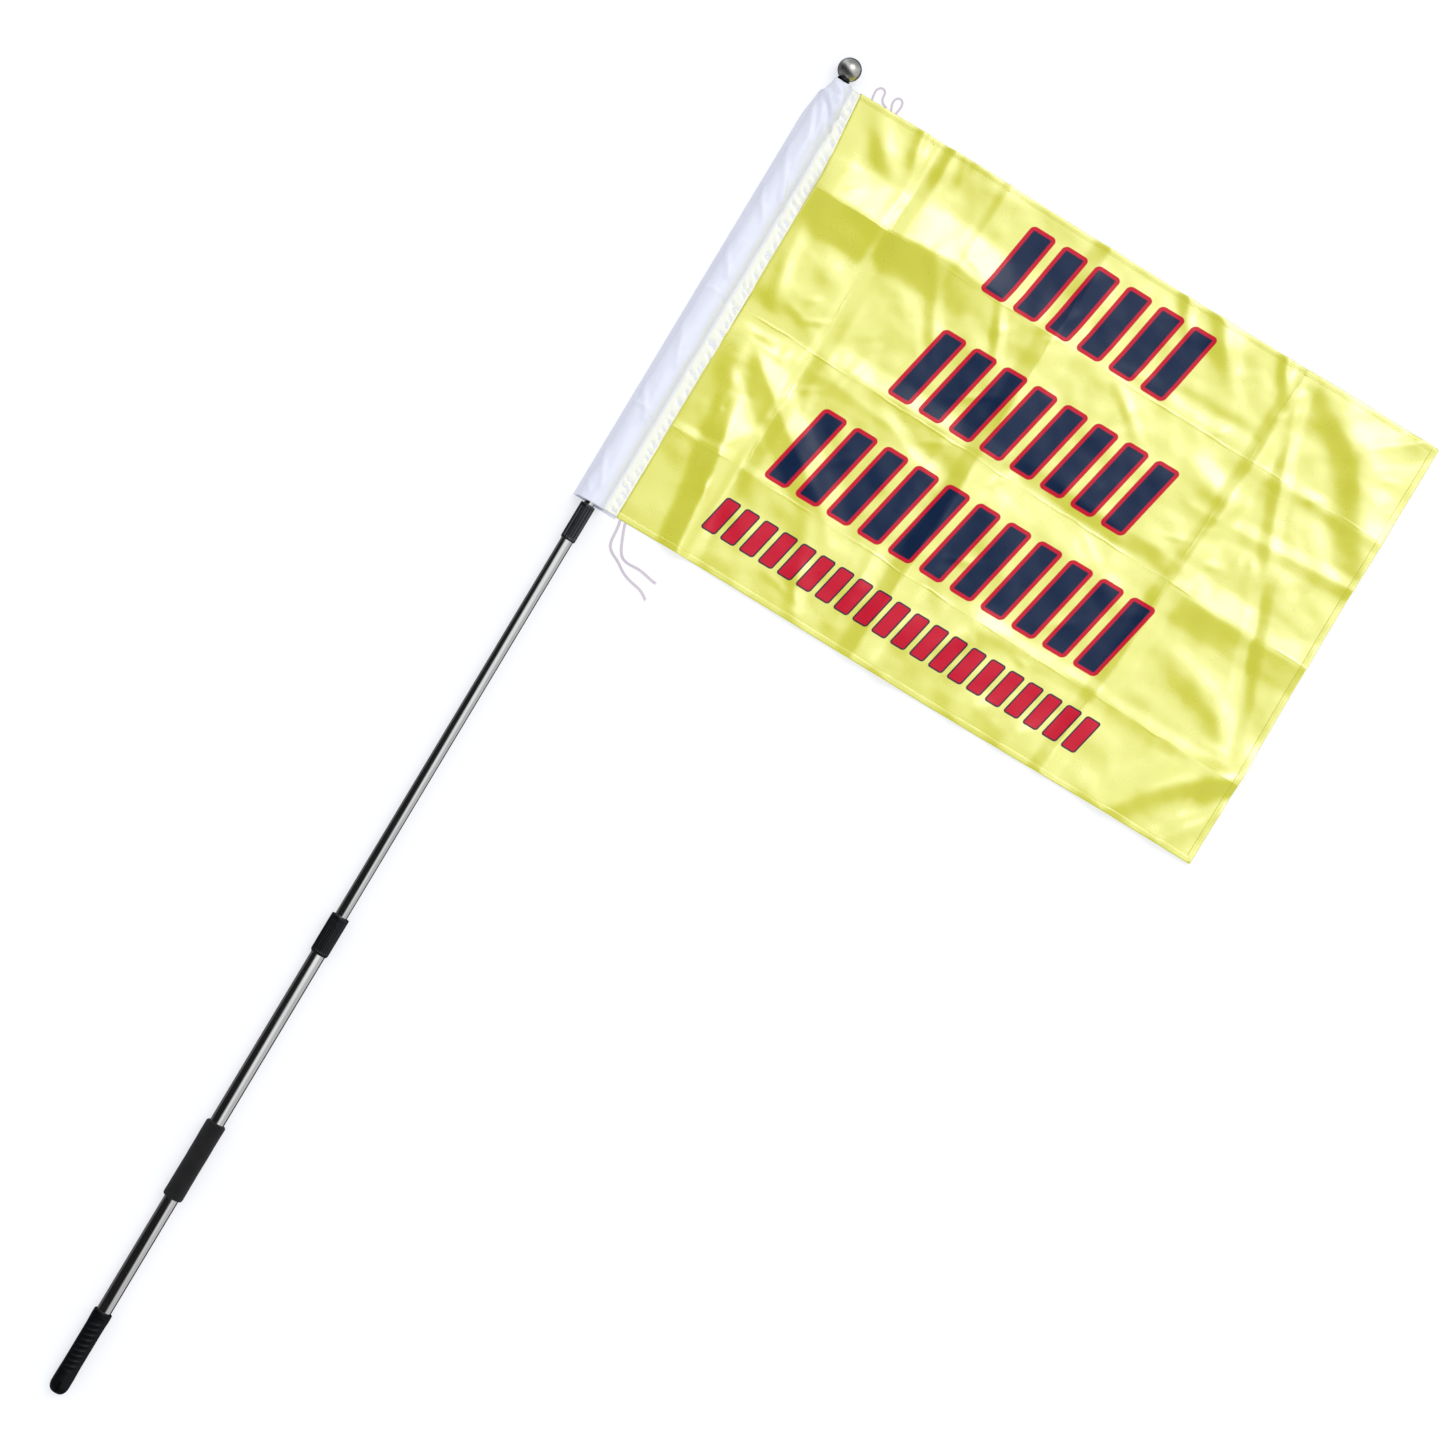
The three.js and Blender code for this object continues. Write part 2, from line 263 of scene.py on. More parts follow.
class Nodes:
    """A short way to write a node tree."""

    def __init__(self, owner):
        owner.use_nodes = True
        self.tree = owner.node_tree
        self.tree.nodes.clear()

    def node(self, kind, inputs=None, **settings):
        made = self.tree.nodes.new("ShaderNode" + kind)
        for key, value in settings.items():
            setattr(made, key, value)
        for key, value in (inputs or {}).items():
            if isinstance(value, bpy.types.NodeSocket):
                self.tree.links.new(value, made.inputs[key])
            else:
                made.inputs[key].default_value = value
        return made

    def math(self, operation, a, b=0.0, clamp=False):
        return self.node("Math", {0: a, 1: b}, operation=operation, use_clamp=clamp).outputs[0]

    def plus(self, a, b):
        return self.math("ADD", a, b)

    def minus(self, a, b):
        return self.math("SUBTRACT", a, b)

    def times(self, a, b):
        return self.math("MULTIPLY", a, b)

    def over(self, operation, values):
        """One operation over all the values, such as their maximum."""
        return reduce(lambda a, b: self.math(operation, a, b), values)

    def ramp(self, value, low, high, to_low=0.0, to_high=1.0, kind="LINEAR"):
        """From to_low to to_high as value goes from low to high, and level outside that."""
        inputs = dict(enumerate((value, low, high, to_low, to_high)))
        return self.node("MapRange", inputs, interpolation_type=kind).outputs[0]

    def step(self, *limits):
        """A ramp that starts and ends smoothly."""
        return self.ramp(*limits, kind="SMOOTHSTEP")


class Shader(Nodes):
    """A material, with the nodes that its surfaces share."""

    def __init__(self, name):
        self.material = bpy.data.materials.new(name)
        super().__init__(self.material)

    def mix(self, factor, a, b):
        """Colour a where the factor is 0 and b where it is 1."""
        inputs = {0: factor, COLOUR_A: a, COLOUR_B: b}
        return self.node("Mix", inputs, data_type="RGBA").outputs[MIXED_COLOUR]

    def coordinates(self, scale=(1, 1, 1)):
        """Object coordinates in millimetres, stretched by scale."""
        source = self.node("TexCoord").outputs["Object"]
        return self.stretch(source, tuple(s / MM for s in scale))

    def stretch(self, vector, factors):
        return self.node("VectorMath", {0: vector, 1: factors}, operation="MULTIPLY").outputs[0]

    def noise(self, vector, size, detail=3.0, roughness=0.5):
        inputs = {"Vector": vector, "Scale": 1 / size, "Detail": detail, "Roughness": roughness}
        return self.node("TexNoise", inputs).outputs["Fac"]

    def bump(self, height, depth, strength=1.0, normal=None):
        """Bump from a 0 to 1 height, depth in millimetres."""
        inputs = {"Height": height, "Distance": depth * MM, "Strength": strength}
        if normal:
            inputs["Normal"] = normal
        return self.node("Bump", inputs).outputs["Normal"]

    def finish(self, **inputs):
        """A Principled surface; base_color=... sets its "Base Color" input, and so on."""
        names = {PRINCIPLED.get(key, key.replace("_", " ").title()): value for key, value in inputs.items()}
        surface = self.node("BsdfPrincipled", names).outputs[0]
        self.node("OutputMaterial", {"Surface": surface})
        return self.material


def steel(name, lines, patches, line_gloss, patch_gloss, patch_tint, light, dark, depth):
    """Steel with fine working lines and soft patches, each given as a stretch and a noise's settings."""
    s = Shader(name)
    lines, patches = (s.noise(s.coordinates(stretch), *settings) for stretch, *settings in (lines, patches))
    roughness = s.plus(s.ramp(lines, 0.3, 0.7, 0.0, line_gloss), s.ramp(patches, *patch_gloss))
    colour = s.mix(s.ramp(patches, *patch_tint), light, dark)
    return s.finish(base_color=colour, metallic=1.0, roughness=roughness, normal=s.bump(lines, depth))


def fastener_steel():
    s = Shader("zinc_fastener")
    grain = s.noise(s.coordinates(), 0.8, 4)
    colour = s.mix(grain, (0.5, 0.5, 0.51, 1), (0.65, 0.65, 0.64, 1))
    return s.finish(base_color=colour, metallic=1.0, roughness=s.ramp(grain, 0, 1, 0.3, 0.5),
                    normal=s.bump(grain, 0.01))


def moulded_plastic(name, colour, edge_wear_and_highlight_colour, roughness, grain_depth, specular):
    """Plastic with a fine grain, lighter along sharp edges: rubbed wear, and a painted highlight on glossy
    ridges.
    """
    s = Shader(name)
    grain = s.noise(s.coordinates(), 0.35, 3)
    rubbed = s.noise(s.coordinates((1, 0.4, 1)), 9, 4, 0.6)
    edges = s.ramp(s.node("NewGeometry").outputs["Pointiness"], 0.52, 0.6)
    # wear and painted highlight: the colour lightens along sharp edges, which on the glossy black stands in
    # for light lines on the flutes' ridges
    edge_wear_and_highlight = s.math("MULTIPLY", edges, s.ramp(rubbed, 0.35, 0.7), clamp=True)
    shade = s.mix(s.times(edge_wear_and_highlight, 0.6), (*colour, 1), (*edge_wear_and_highlight_colour, 1))
    rough = s.plus(s.ramp(rubbed, 0.3, 0.7, roughness - 0.06, roughness + 0.06),
                   s.ramp(grain, 0.3, 0.7, -0.03, 0.03))
    return s.finish(base_color=shade, roughness=rough, specular=specular, normal=s.bump(grain, grain_depth))


def grip_rubber():
    s = Shader("grip_rubber")
    grain = s.noise(s.coordinates(), 0.22, 3)
    dust = s.noise(s.coordinates((1, 0.5, 1)), 14, 6, 0.7)
    colour = s.mix(s.ramp(dust, 0.5, 0.8, 0, 0.5), (0.003, 0.003, 0.0033, 1), (0.01, 0.0098, 0.0096, 1))
    return s.finish(base_color=colour, roughness=s.ramp(dust, 0.3, 0.8, 0.36, 0.52), specular=0.14,
                    normal=s.bump(grain, 0.03))


def grip_foam():
    s = Shader("grip_foam")
    cells = s.node("TexVoronoi", {"Vector": s.coordinates(), "Scale": 1.25}).outputs["Distance"]
    fine = s.noise(s.coordinates(), 0.4, 4, 0.7)
    soft = s.noise(s.coordinates(), 16, 3)
    height = s.plus(s.times(cells, -0.6), fine)
    # painted shade: the colour is darker in the low pits between the cells, where the bump sinks the surface
    colour = s.mix(s.ramp(cells, 0.05, 0.5), (0.016, 0.015, 0.0135, 1), (0.007, 0.0067, 0.0062, 1))
    colour = s.mix(s.ramp(soft, 0.4, 0.8, 0, 0.35), colour, (0.02, 0.019, 0.0175, 1))
    return s.finish(base_color=colour, roughness=0.93, specular=0.2, sheen_weight=0.06,
                    sheen_roughness=0.6, normal=s.bump(height, 0.16))


def weave(s, flat):
    """A satin weave's height: warp floats side by side, bound down on a slanted grid."""
    parts = s.node("SeparateXYZ", {0: flat}).outputs
    turn = 2 * pi / WEAVE_PITCH
    warp = s.math("SINE", s.times(parts[0], turn))
    slant = s.plus(s.times(parts[0], turn / 5), s.times(parts[1], turn / 2))
    return s.plus(s.times(warp, 0.5), s.times(s.math("SINE", slant), 0.35))


def flat_coordinates(s):
    """The cloth's own flat coordinates in millimetres."""
    source = s.node("Attribute", attribute_name="flat").outputs["Vector"]
    return s.node("VectorMath", {0: source, "Scale": 1 / MM}, operation="SCALE").outputs[0]


def slanted_bars(s, u, v, low, high, left, right, count, corner):
    """Signed distance in mm, negative inside, to a row of equal slanted bars with rounded corners."""
    width, middle = right - left, (low + high) / 2
    pitch = width / count
    lean = s.times(s.minus(v, middle), BAR_SLANT)
    across = s.minus(s.minus(u, lean), left)
    outside = s.minus(s.math("ABSOLUTE", s.minus(across, width / 2)), width / 2)
    within = s.minus(s.times(s.math("FRACT", s.math("DIVIDE", across, pitch)), pitch), pitch / 2)
    qx = s.minus(s.math("ABSOLUTE", within), pitch * BAR_FILL / 2 - corner)
    qy = s.minus(s.math("ABSOLUTE", s.minus(v, middle)), (high - low) / 2 - corner)
    x2, y2 = (s.math("POWER", s.math("MAXIMUM", q, 0.0), 2.0) for q in (qx, qy))
    rounded = s.plus(s.math("SQRT", s.plus(x2, y2)), s.math("MINIMUM", s.math("MAXIMUM", qx, qy), 0.0))
    return s.math("MAXIMUM", s.minus(rounded, corner), outside)


# Rows of bars on the flag: bottom, top, left and right edge from the panel's lower hoist corner, then count.
BIG_ROWS = ((472, 576, 244, 521, 6), (303, 410, 212, 564, 8), (136, 249, 135, 624, 11))
SMALL_ROWS = ((42, 92, 97, 642, 20),)
NAVY, RED = (0.004, 0.017, 0.052, 1), (0.58, 0.006, 0.026, 1)
# Each kind of row, with its border's and its inside's colour, its bars' corner radius and border width.
PRINT = ((BIG_ROWS, RED, NAVY, 7, 5.2), (SMALL_ROWS, NAVY, RED, 4, 1.9))
BAR_FILL, BAR_SLANT = 0.77, 0.21  # a bar's share of the pitch, and its lean for each millimetre of height
INK_EDGE = 0.4  # a printed edge fades over twice this
# Pressed fold lines: where each starts and ends, measured from the panel's lower hoist corner.
UPRIGHT_LINES = ((99, 109), (335, 352), (608, 639))
LEVEL_LINES = ((132, 113), (300, 283), (474, 465))
LINE_WIDTH = 2.4
FLAG_WIDE, FLAG_HIGH = 825.0, 601.0
SATIN_IOR = 2.0  # a satin float's strong gloss; its specular level is lower where ink covers it
INK_GLOSS = 0.09
WEAVE_PITCH = 0.42


def pressed_lines(s, flat, u, v):
    """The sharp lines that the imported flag's folds left, which come and go: 1 on a line, 0 away from it."""
    wander = s.times(s.minus(s.noise(flat, 40, 2), 0.5), 7.0)
    peaks = []
    for across, along, size, lines in ((u, v, FLAG_HIGH, UPRIGHT_LINES), (v, u, FLAG_WIDE, LEVEL_LINES)):
        for start, end in lines:
            offset = s.plus(s.minus(across, s.ramp(along, 0, size, start, end)), wander)
            peaks.append(s.ramp(s.math("ABSOLUTE", offset), 0, LINE_WIDTH, 1, 0))
    return s.times(s.over("MAXIMUM", peaks), s.ramp(s.noise(flat, 55, 3), 0.4, 0.62, 0.1, 1))


def flag_cloth(printed):
    s = Shader("yellow_satin_printed" if printed else "yellow_satin")
    flat = flat_coordinates(s)
    u, v = s.node("SeparateXYZ", {0: flat}).outputs[:2]
    cloudy = s.noise(flat, 60, 4, 0.55)
    slub = s.noise(s.stretch(flat, (0.02, 1, 1)), 0.8, 2)
    colour = s.mix(s.ramp(cloudy, 0.3, 0.7), (0.785, 0.755, 0.013, 1), (0.815, 0.785, 0.02, 1))
    colour = s.mix(s.ramp(slub, 0.3, 0.7, 0, 0.12), colour, (0.73, 0.7, 0.009, 1))
    gloss = 1.0
    if printed:
        rough_edge = s.times(s.minus(s.noise(flat, 0.9, 2), 0.5), 0.8)
        for rows, outer, inner, corner, border in PRINT:
            bars = [slanted_bars(s, u, v, *row, corner) for row in rows]
            distance = s.plus(s.over("MINIMUM", bars), rough_edge)
            colour = s.mix(s.ramp(distance, INK_EDGE, -INK_EDGE), colour, outer)
            colour = s.mix(s.ramp(distance, INK_EDGE - border, -INK_EDGE - border), colour, inner)
            gloss = s.times(s.ramp(distance, INK_EDGE, -INK_EDGE, 1.0, INK_GLOSS), gloss)
    normal = s.bump(pressed_lines(s, flat, u, v), 0.32, 0.8)
    normal = s.bump(weave(s, flat), 0.008, 0.5, normal)
    return s.finish(base_color=colour, roughness=s.ramp(cloudy, 0.3, 0.7, 0.25, 0.31), ior=SATIN_IOR,
                    specular=gloss, normal=normal)


def sleeve_cloth():
    s = Shader("white_satin")
    flat = flat_coordinates(s)
    cloudy = s.noise(flat, 45, 4, 0.55)
    seam = s.node("Attribute", attribute_name="seam").outputs["Fac"]
    colour = s.mix(s.ramp(cloudy, 0.3, 0.7), (0.77, 0.775, 0.825, 1), (0.8, 0.805, 0.845, 1))
    colour = s.mix(seam, colour, (0.93, 0.92, 0.76, 1))
    normal = s.bump(weave(s, flat), 0.03, 0.5)
    return s.finish(base_color=colour, roughness=s.ramp(cloudy, 0.3, 0.7, 0.42, 0.5), ior=SATIN_IOR,
                    specular=0.2, normal=normal)


def spun_thread(name, colour, size):
    s = Shader(name)
    fibre = s.noise(s.coordinates(), size, 4, 0.65)
    shade = s.mix(fibre, (*[c * 0.82 for c in colour], 1), (*colour, 1))
    return s.finish(base_color=shade, roughness=0.8, specular=0.3, sheen_weight=0.4,
                    sheen_roughness=0.5, normal=s.bump(fibre, 0.12))


def floor_paper():
    """A pale floor that is partly lit from within, so that shadows on it stay light."""
    s = Shader("pale_floor")
    tone = s.noise(s.coordinates(), 300, 2)
    colour = s.mix(tone, (0.9, 0.9, 0.9, 1), (0.915, 0.915, 0.915, 1))
    inputs = {"Base Color": colour, "Roughness": 0.9, "Specular IOR Level": 0.1}
    paper = s.node("BsdfPrincipled", inputs).outputs[0]
    glow = s.node("Emission", {"Color": (1, 1, 1, 1), "Strength": 1.12}).outputs[0]
    both = s.node("MixShader", {"Fac": 0.5, 1: paper, 2: glow}).outputs[0]
    s.node("OutputMaterial", {"Surface": both})
    return s.material


STEEL = steel("polished_steel_tube", ((1, 0.012, 1), 0.55, 4), ((1, 0.35, 1), 22, 4, 0.6), 0.05,
              (0.35, 0.75, 0.05, 0.12), (0.3, 0.8), (0.62, 0.595, 0.545, 1), (0.52, 0.5, 0.46, 1), 0.006)
BALL_STEEL = steel("satin_steel_ball", ((0.05, 1, 0.05), 0.35, 3), ((1, 1, 1), 7, 5, 0.65), 0.07,
                   (0.3, 0.8, 0.27, 0.36), (0.35, 0.75), (0.54, 0.52, 0.47, 1), (0.42, 0.4, 0.36, 1), 0.008)
ZINC = fastener_steel()
# Each plastic's colour, its colour along sharp edges (rubbed wear; on the glossy black also a painted
# highlight), its roughness, the grain's depth and the specular level.
BLACK = moulded_plastic("black_plastic", (0.003, 0.003, 0.0032), (0.02, 0.02, 0.02), 0.28, 0.012, 0.32)
# the glossy black's light edge colour is a painted highlight on the upper collar's flute ridges
GLOSSY_BLACK = moulded_plastic("glossy_black_plastic", (0.004, 0.004, 0.0042), (0.12, 0.12, 0.115), 0.25,
                               0.012, 0.7)
INNER_BLACK = moulded_plastic("inner_black_plastic", (0.012, 0.012, 0.013), (0.05, 0.05, 0.05), 0.5, 0.02,
                              0.5)
INNER_WHITE = moulded_plastic("inner_white_plastic", (0.78, 0.78, 0.74), (0.86, 0.86, 0.82), 0.45, 0.02, 0.5)
RUBBER = grip_rubber()
FOAM = grip_foam()
PRINTED = flag_cloth(True)
YELLOW = flag_cloth(False)
WHITE = sleeve_cloth()
STRING = spun_thread("cotton_tape", (0.7, 0.61, 0.63), 0.3)
YELLOW_THREAD = spun_thread("yellow_thread", (0.76, 0.64, 0.03), 0.2)
WHITE_THREAD = spun_thread("white_thread", (0.88, 0.88, 0.86), 0.2)

# The CAD nodes inside the pole stay, with these finishes by the end of their names.
INSIDE = {"lock_screw": ZINC, "stud": ZINC, "bush": INNER_WHITE, "expander": INNER_WHITE, "plug": INNER_BLACK}
for node_name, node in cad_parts.items():
    for ending, finish in INSIDE.items():
        if node_name.endswith(ending):
            for material_slot in node.material_slots:
                material_slot.material = finish


# --- Pole ---
WALL = 0.5


def tube(node, body):
    low, high, radius = round_span(node)
    bore, edge = radius - WALL, 0.2
    profile = fillet([(radius, low, edge), (radius, high, edge), (bore, high, edge), (bore, low, edge)],
                     closed=True)
    keep(turned(node + "_polished", profile, STEEL, closed=True), body, "steel_tube", node)
    return radius


OUTER_RADIUS = tube("outer_tube", "outer_section")
MIDDLE_RADIUS = tube("middle_tube", "middle_section")
TOP_RADIUS = tube("top_tube", "top_section")

RIB_FIRST, RIB_PITCH, RIB_COUNT = 38.5, 7.4, 9
RIB_LAST = RIB_FIRST + RIB_COUNT * RIB_PITCH
RIB_HEIGHT, RIB_REACH, RIB_RISE = 0.85, radians(44), 2.6
RIB_FLANKS = (1.15, 2.3)  # how far a rib falls off towards the tube and towards the tip


def handle():
    high, radius = round_span("handle_grip")[1:]
    bore = OUTER_RADIUS + 0.15
    seat = span("outer_tube")[0].y - 0.2
    tip_flat, tip_length = 4, 12
    tip = arc((tip_flat, tip_length), (radius - tip_flat, tip_length), -pi / 2, 0, 24)
    barrel = [(radius, y) for y in np.arange(tip_length + 1, high - 3, 0.55)]
    lip = fillet([(radius, high - 4, 0), (radius, high, 1.6), (bore, high, 0.6), (bore, high - 5, 0)])
    profile = [(0, 0), (2, 0)] + tip + barrel + lip.tolist() + [(bore, seat), (0, seat)]

    def ribs(r, y, angle):
        """Slanted ribs on the top and bottom faces, and slightly flattened sides between them."""
        turn = (angle + pi / 2) % pi - pi / 2
        face = np.abs(turn)
        slant = RIB_RISE * turn / RIB_REACH + 1.3 * (face / RIB_REACH) ** 2
        rise = np.zeros_like(r)
        for i in range(RIB_COUNT):
            offset = y - (RIB_FIRST + i * RIB_PITCH + slant)
            rise += np.exp(-((offset / np.where(offset > 0, *RIB_FLANKS)) ** 2))
        panel = smooth(face, RIB_REACH, RIB_REACH * 0.7)
        recess = 0.55 * panel * band(y, RIB_FIRST - 8, RIB_FIRST - 3, RIB_LAST, RIB_LAST + 5)
        sides = 0.5 * smooth(face, radians(60), radians(90)) * band(y, 20, 45, 95, 108)
        outside = smooth(r, radius - 0.4, radius - 0.1)
        return r + outside * (RIB_HEIGHT * panel * rise - recess - sides)

    grip = turned("handle_grip_ribbed", profile, RUBBER, 144, shape=ribs)
    slot, slot_low, slot_high, slot_floor = 1.5, 2, 17, 6.2
    outline = (arc((0, slot_high - slot), (slot, slot), 0, pi, 9)
               + arc((0, slot_low + slot), (slot, slot), pi, 2 * pi, 9))
    points = [(x, y, z) for z in (AXIS + slot_floor, AXIS + radius + 3) for x, y in outline]
    cutter = solid_object("slot_cutter", points, tube_faces(2, len(outline)), RUBBER)
    cut = grip.modifiers.new("slot", "BOOLEAN")
    cut.operation, cut.object, cut.solver = "DIFFERENCE", cutter, "EXACT"
    graph = bpy.context.evaluated_depsgraph_get()
    mesh = bpy.data.meshes.new_from_object(grip.evaluated_get(graph))
    grip.modifiers.clear()
    grip.data = mesh
    mesh.set_sharp_from_angle(angle=radians(40))
    bpy.data.objects.remove(cutter)
    keep(grip, "outer_section", "grip_rubber", "handle_grip")


def foam():
    low, high, radius = round_span("foam_grip")
    bore = OUTER_RADIUS + 0.1
    end = fillet([(bore, low, 0), (radius, low, 3.6), (radius, low + 9, 0)], steps=10)
    middle = [(radius, y) for y in np.arange(low + 11, high - 10, 1.2)]
    other_end = [(r, high + low - y) for r, y in end[::-1]]

    def soft(r, y, angle):
        """Foam is never quite round: shallow dents and a faint waist."""
        dents = perlin(y, angle * radius, 17, 3.1) * 0.16 + perlin(y, angle * radius, 6, 8.2) * 0.05
        waist = 0.25 * np.sin(pi * (y - low) / (high - low))
        return np.where(r > bore + 0.5, r - 0.12 + dents * (r - bore) / (radius - bore) - waist * 0.5, r)

    grip = turned("foam_grip_tube", end.tolist() + middle + other_end, FOAM, closed=True, shape=soft)
    keep(grip, "outer_section", "grip_foam", "foam_grip")


def collar(node, body, outer_radius, inner_radius, flutes, depth, bevel, plastic):
    """A twist collar: finger flutes between two plain rims, bevelled at its lower end."""
    low, high, radius = round_span(node)
    rim, fade, lip, lip_depth = 3.2, 1.4, inner_radius + 0.45, 1.6
    bore = outer_radius + 0.1
    profile = fillet([(bore, low, 0.3), (radius - bevel, low, 0.3), (radius, low + bevel * 1.6, 0.6),
                      (radius, low + rim, 0)], steps=4).tolist()
    profile += [(radius, y) for y in np.linspace(low + rim + 0.4, high - rim - 0.4, 40)]
    profile += fillet([(radius, high - rim, 0), (radius, high, 1.0), (lip, high, 0.4),
                       (lip, high - lip_depth, 0.3), (bore, high - lip_depth, 0)], steps=4).tolist()

    def fluted(r, y, angle):
        groove = smooth(np.cos(angle * flutes), 0.35, -0.75)
        fluting = band(y, low + rim, low + rim + fade, high - rim - fade, high - rim)
        return np.where(r > radius - 0.05, r - depth * groove * fluting, r)

    keep(turned(node + "_fluted", profile, plastic, flutes * 12, closed=True, shape=fluted), body,
         "black_plastic", node)


handle()
foam()
collar("lower_collar", "outer_section", OUTER_RADIUS, MIDDLE_RADIUS, flutes=24, depth=0.8, bevel=1.6,
       plastic=BLACK)
collar("upper_collar", "middle_section", MIDDLE_RADIUS, TOP_RADIUS, flutes=16, depth=1.3, bevel=0.9,
       plastic=GLOSSY_BLACK)


def finial():
    low, high, radius = round_span("finial_ball")
    centre, inner, mouth = high - radius, radius - 1, 7.4
    outside = arc((0, centre), (radius, radius), -acos(mouth / radius), pi / 2, 56)
    inside = arc((0, centre), (inner, inner), pi / 2, -acos(mouth / inner), 30)
    ball = turned("finial_ball_turned", outside + inside, BALL_STEEL, closed=True)
    keep(ball, "top_section", "steel_ball", "finial_ball")

    shoulder = centre - sqrt(radius**2 - mouth**2) - 0.3
    low, high, radius = round_span("finial_neck")
    bore, waist, boss = 2.8, 6.4, 7.1
    profile = fillet([
        (bore, low, 0.2), (radius, low, 0.6), (radius, low + 4, 0.8),
        (waist, low + 7, 1.6), (waist, shoulder - 3, 1.2),
        (radius - 0.2, shoulder - 1.6, 0.3), (radius - 0.2, shoulder - 0.5, 0.3),
        (boss, shoulder - 0.5, 0.1), (boss, high, 0.3), (bore, high, 0.2),
    ], closed=True)
    keep(turned("finial_neck_turned", profile, BLACK, 72, closed=True), "top_section", "black_plastic",
         "finial_neck")


finial()


# --- Flag ---
seam_low, seam_high = span("sleeve_seam")
fly_low, fly_high = span("fly_hem")
HOIST, FLY = seam_high.x + 0.3, fly_high.x
HOIST_LOW, HOIST_HIGH = seam_low.y, seam_high.y
FLY_LOW, FLY_HIGH = fly_low.y, HOIST_HIGH - 11  # the lying fly edge is that much shorter
GATHER_FROM, GATHER_INSET = 1770, 10
FLAG_LIFT = 0.9
CLOTH = 0.35

# The cloth's folds: how far the slope reaches to the left and right of the direction of travel, then
# (x, y, height) points. A valley's height is negative.
CRISP_FOLDS = (
    # pressed folds along the fly
    (46, 48, (24, 1752, 10.5), (140, 1751, 10.5), (230, 1757, 8.5), (310, 1750, 4.4), (420, 1745, 1.2)),
    (14, 12, (660, 1733, 0.4), (760, 1732, 1), (861, 1731, 1.2)),
    (27, 22, (24, 1577, -4), (100, 1577, -5), (150, 1577, -0.5)),
    (22, 34, (120, 1578, 0.6), (210, 1577, 3.4), (330, 1575, 3), (405, 1574, 1.6)),
    (20, 38, (410, 1573, -1.6), (520, 1567, -3.4), (610, 1564, -3.4), (655, 1561, -1.6)),
    (32, 34, (664, 1556, 2.6), (720, 1552, 5), (790, 1550, 4), (861, 1551, 4)),
    (9, 30, (36, 1409, 1.8), (110, 1410, 1.8), (180, 1407, 0.6)),
    (12, 14, (430, 1396, 0.4), (654, 1395, 1.4), (861, 1384, 1.6)),
    (14, 14, (636, 1652, 0.8), (760, 1658, 1.4), (861, 1665, 2)),
    # pressed folds along the hoist
    (16, 10, (146, 1878, -4.4), (143, 1760, -3), (143, 1600, -3), (138, 1430, -3), (136, 1277, -3.6)),
    (26, 20, (389, 1878, 5), (384, 1700, 4.4), (383, 1560, 5.4), (381, 1470, 9), (378, 1400, 8.5),
     (372, 1277, 5.4)),
    (20, 15, (674, 1850, 3), (675, 1760, 4.6), (672, 1640, 3.6), (663, 1560, 3), (659, 1450, 4.4),
     (645, 1277, 3.6)),
    (14, 9, (243, 1878, 1.8), (241, 1780, 1), (240, 1690, 0.2)),
    (11, 11, (333, 1580, 0.4), (334, 1420, 1.2), (331, 1300, 0.4)),
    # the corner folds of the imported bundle
    (26, 26, (61, 1556, 1), (100, 1524, 5), (150, 1483, 3.5), (230, 1430, 2.6), (276, 1384, 1)),
    (28, 27, (90, 1486, 3), (99, 1435, 9), (108, 1390, 11), (116, 1330, 11), (123, 1277, 10)),
    (12, 12, (206, 1757, 0.8), (252, 1676, 1.8), (268, 1640, 0.5)),
    (10, 8, (306, 1745, 0.8), (322, 1712, 2.2), (335, 1684, 1)),
    (10, 10, (470, 1742, 0.3), (506, 1714, 1.3), (538, 1688, 0.5)),
    (14, 24, (175, 1556, 0.6), (262, 1547, 1.6), (334, 1520, 1.2), (370, 1496, 0.4)),
    # loose folds of the cloth as it lies
    (13, 13, (680, 1831, 1.4), (708, 1757, 2.4), (743, 1663, 2), (764, 1610, 0.2)),
    (13, 16, (758, 1626, -0.2), (779, 1572, -3), (815, 1472, -2.6), (838, 1408, -0.4)),
    (14, 20, (790, 1826, 1.4), (836, 1862, 4), (850, 1876, 3)),
)
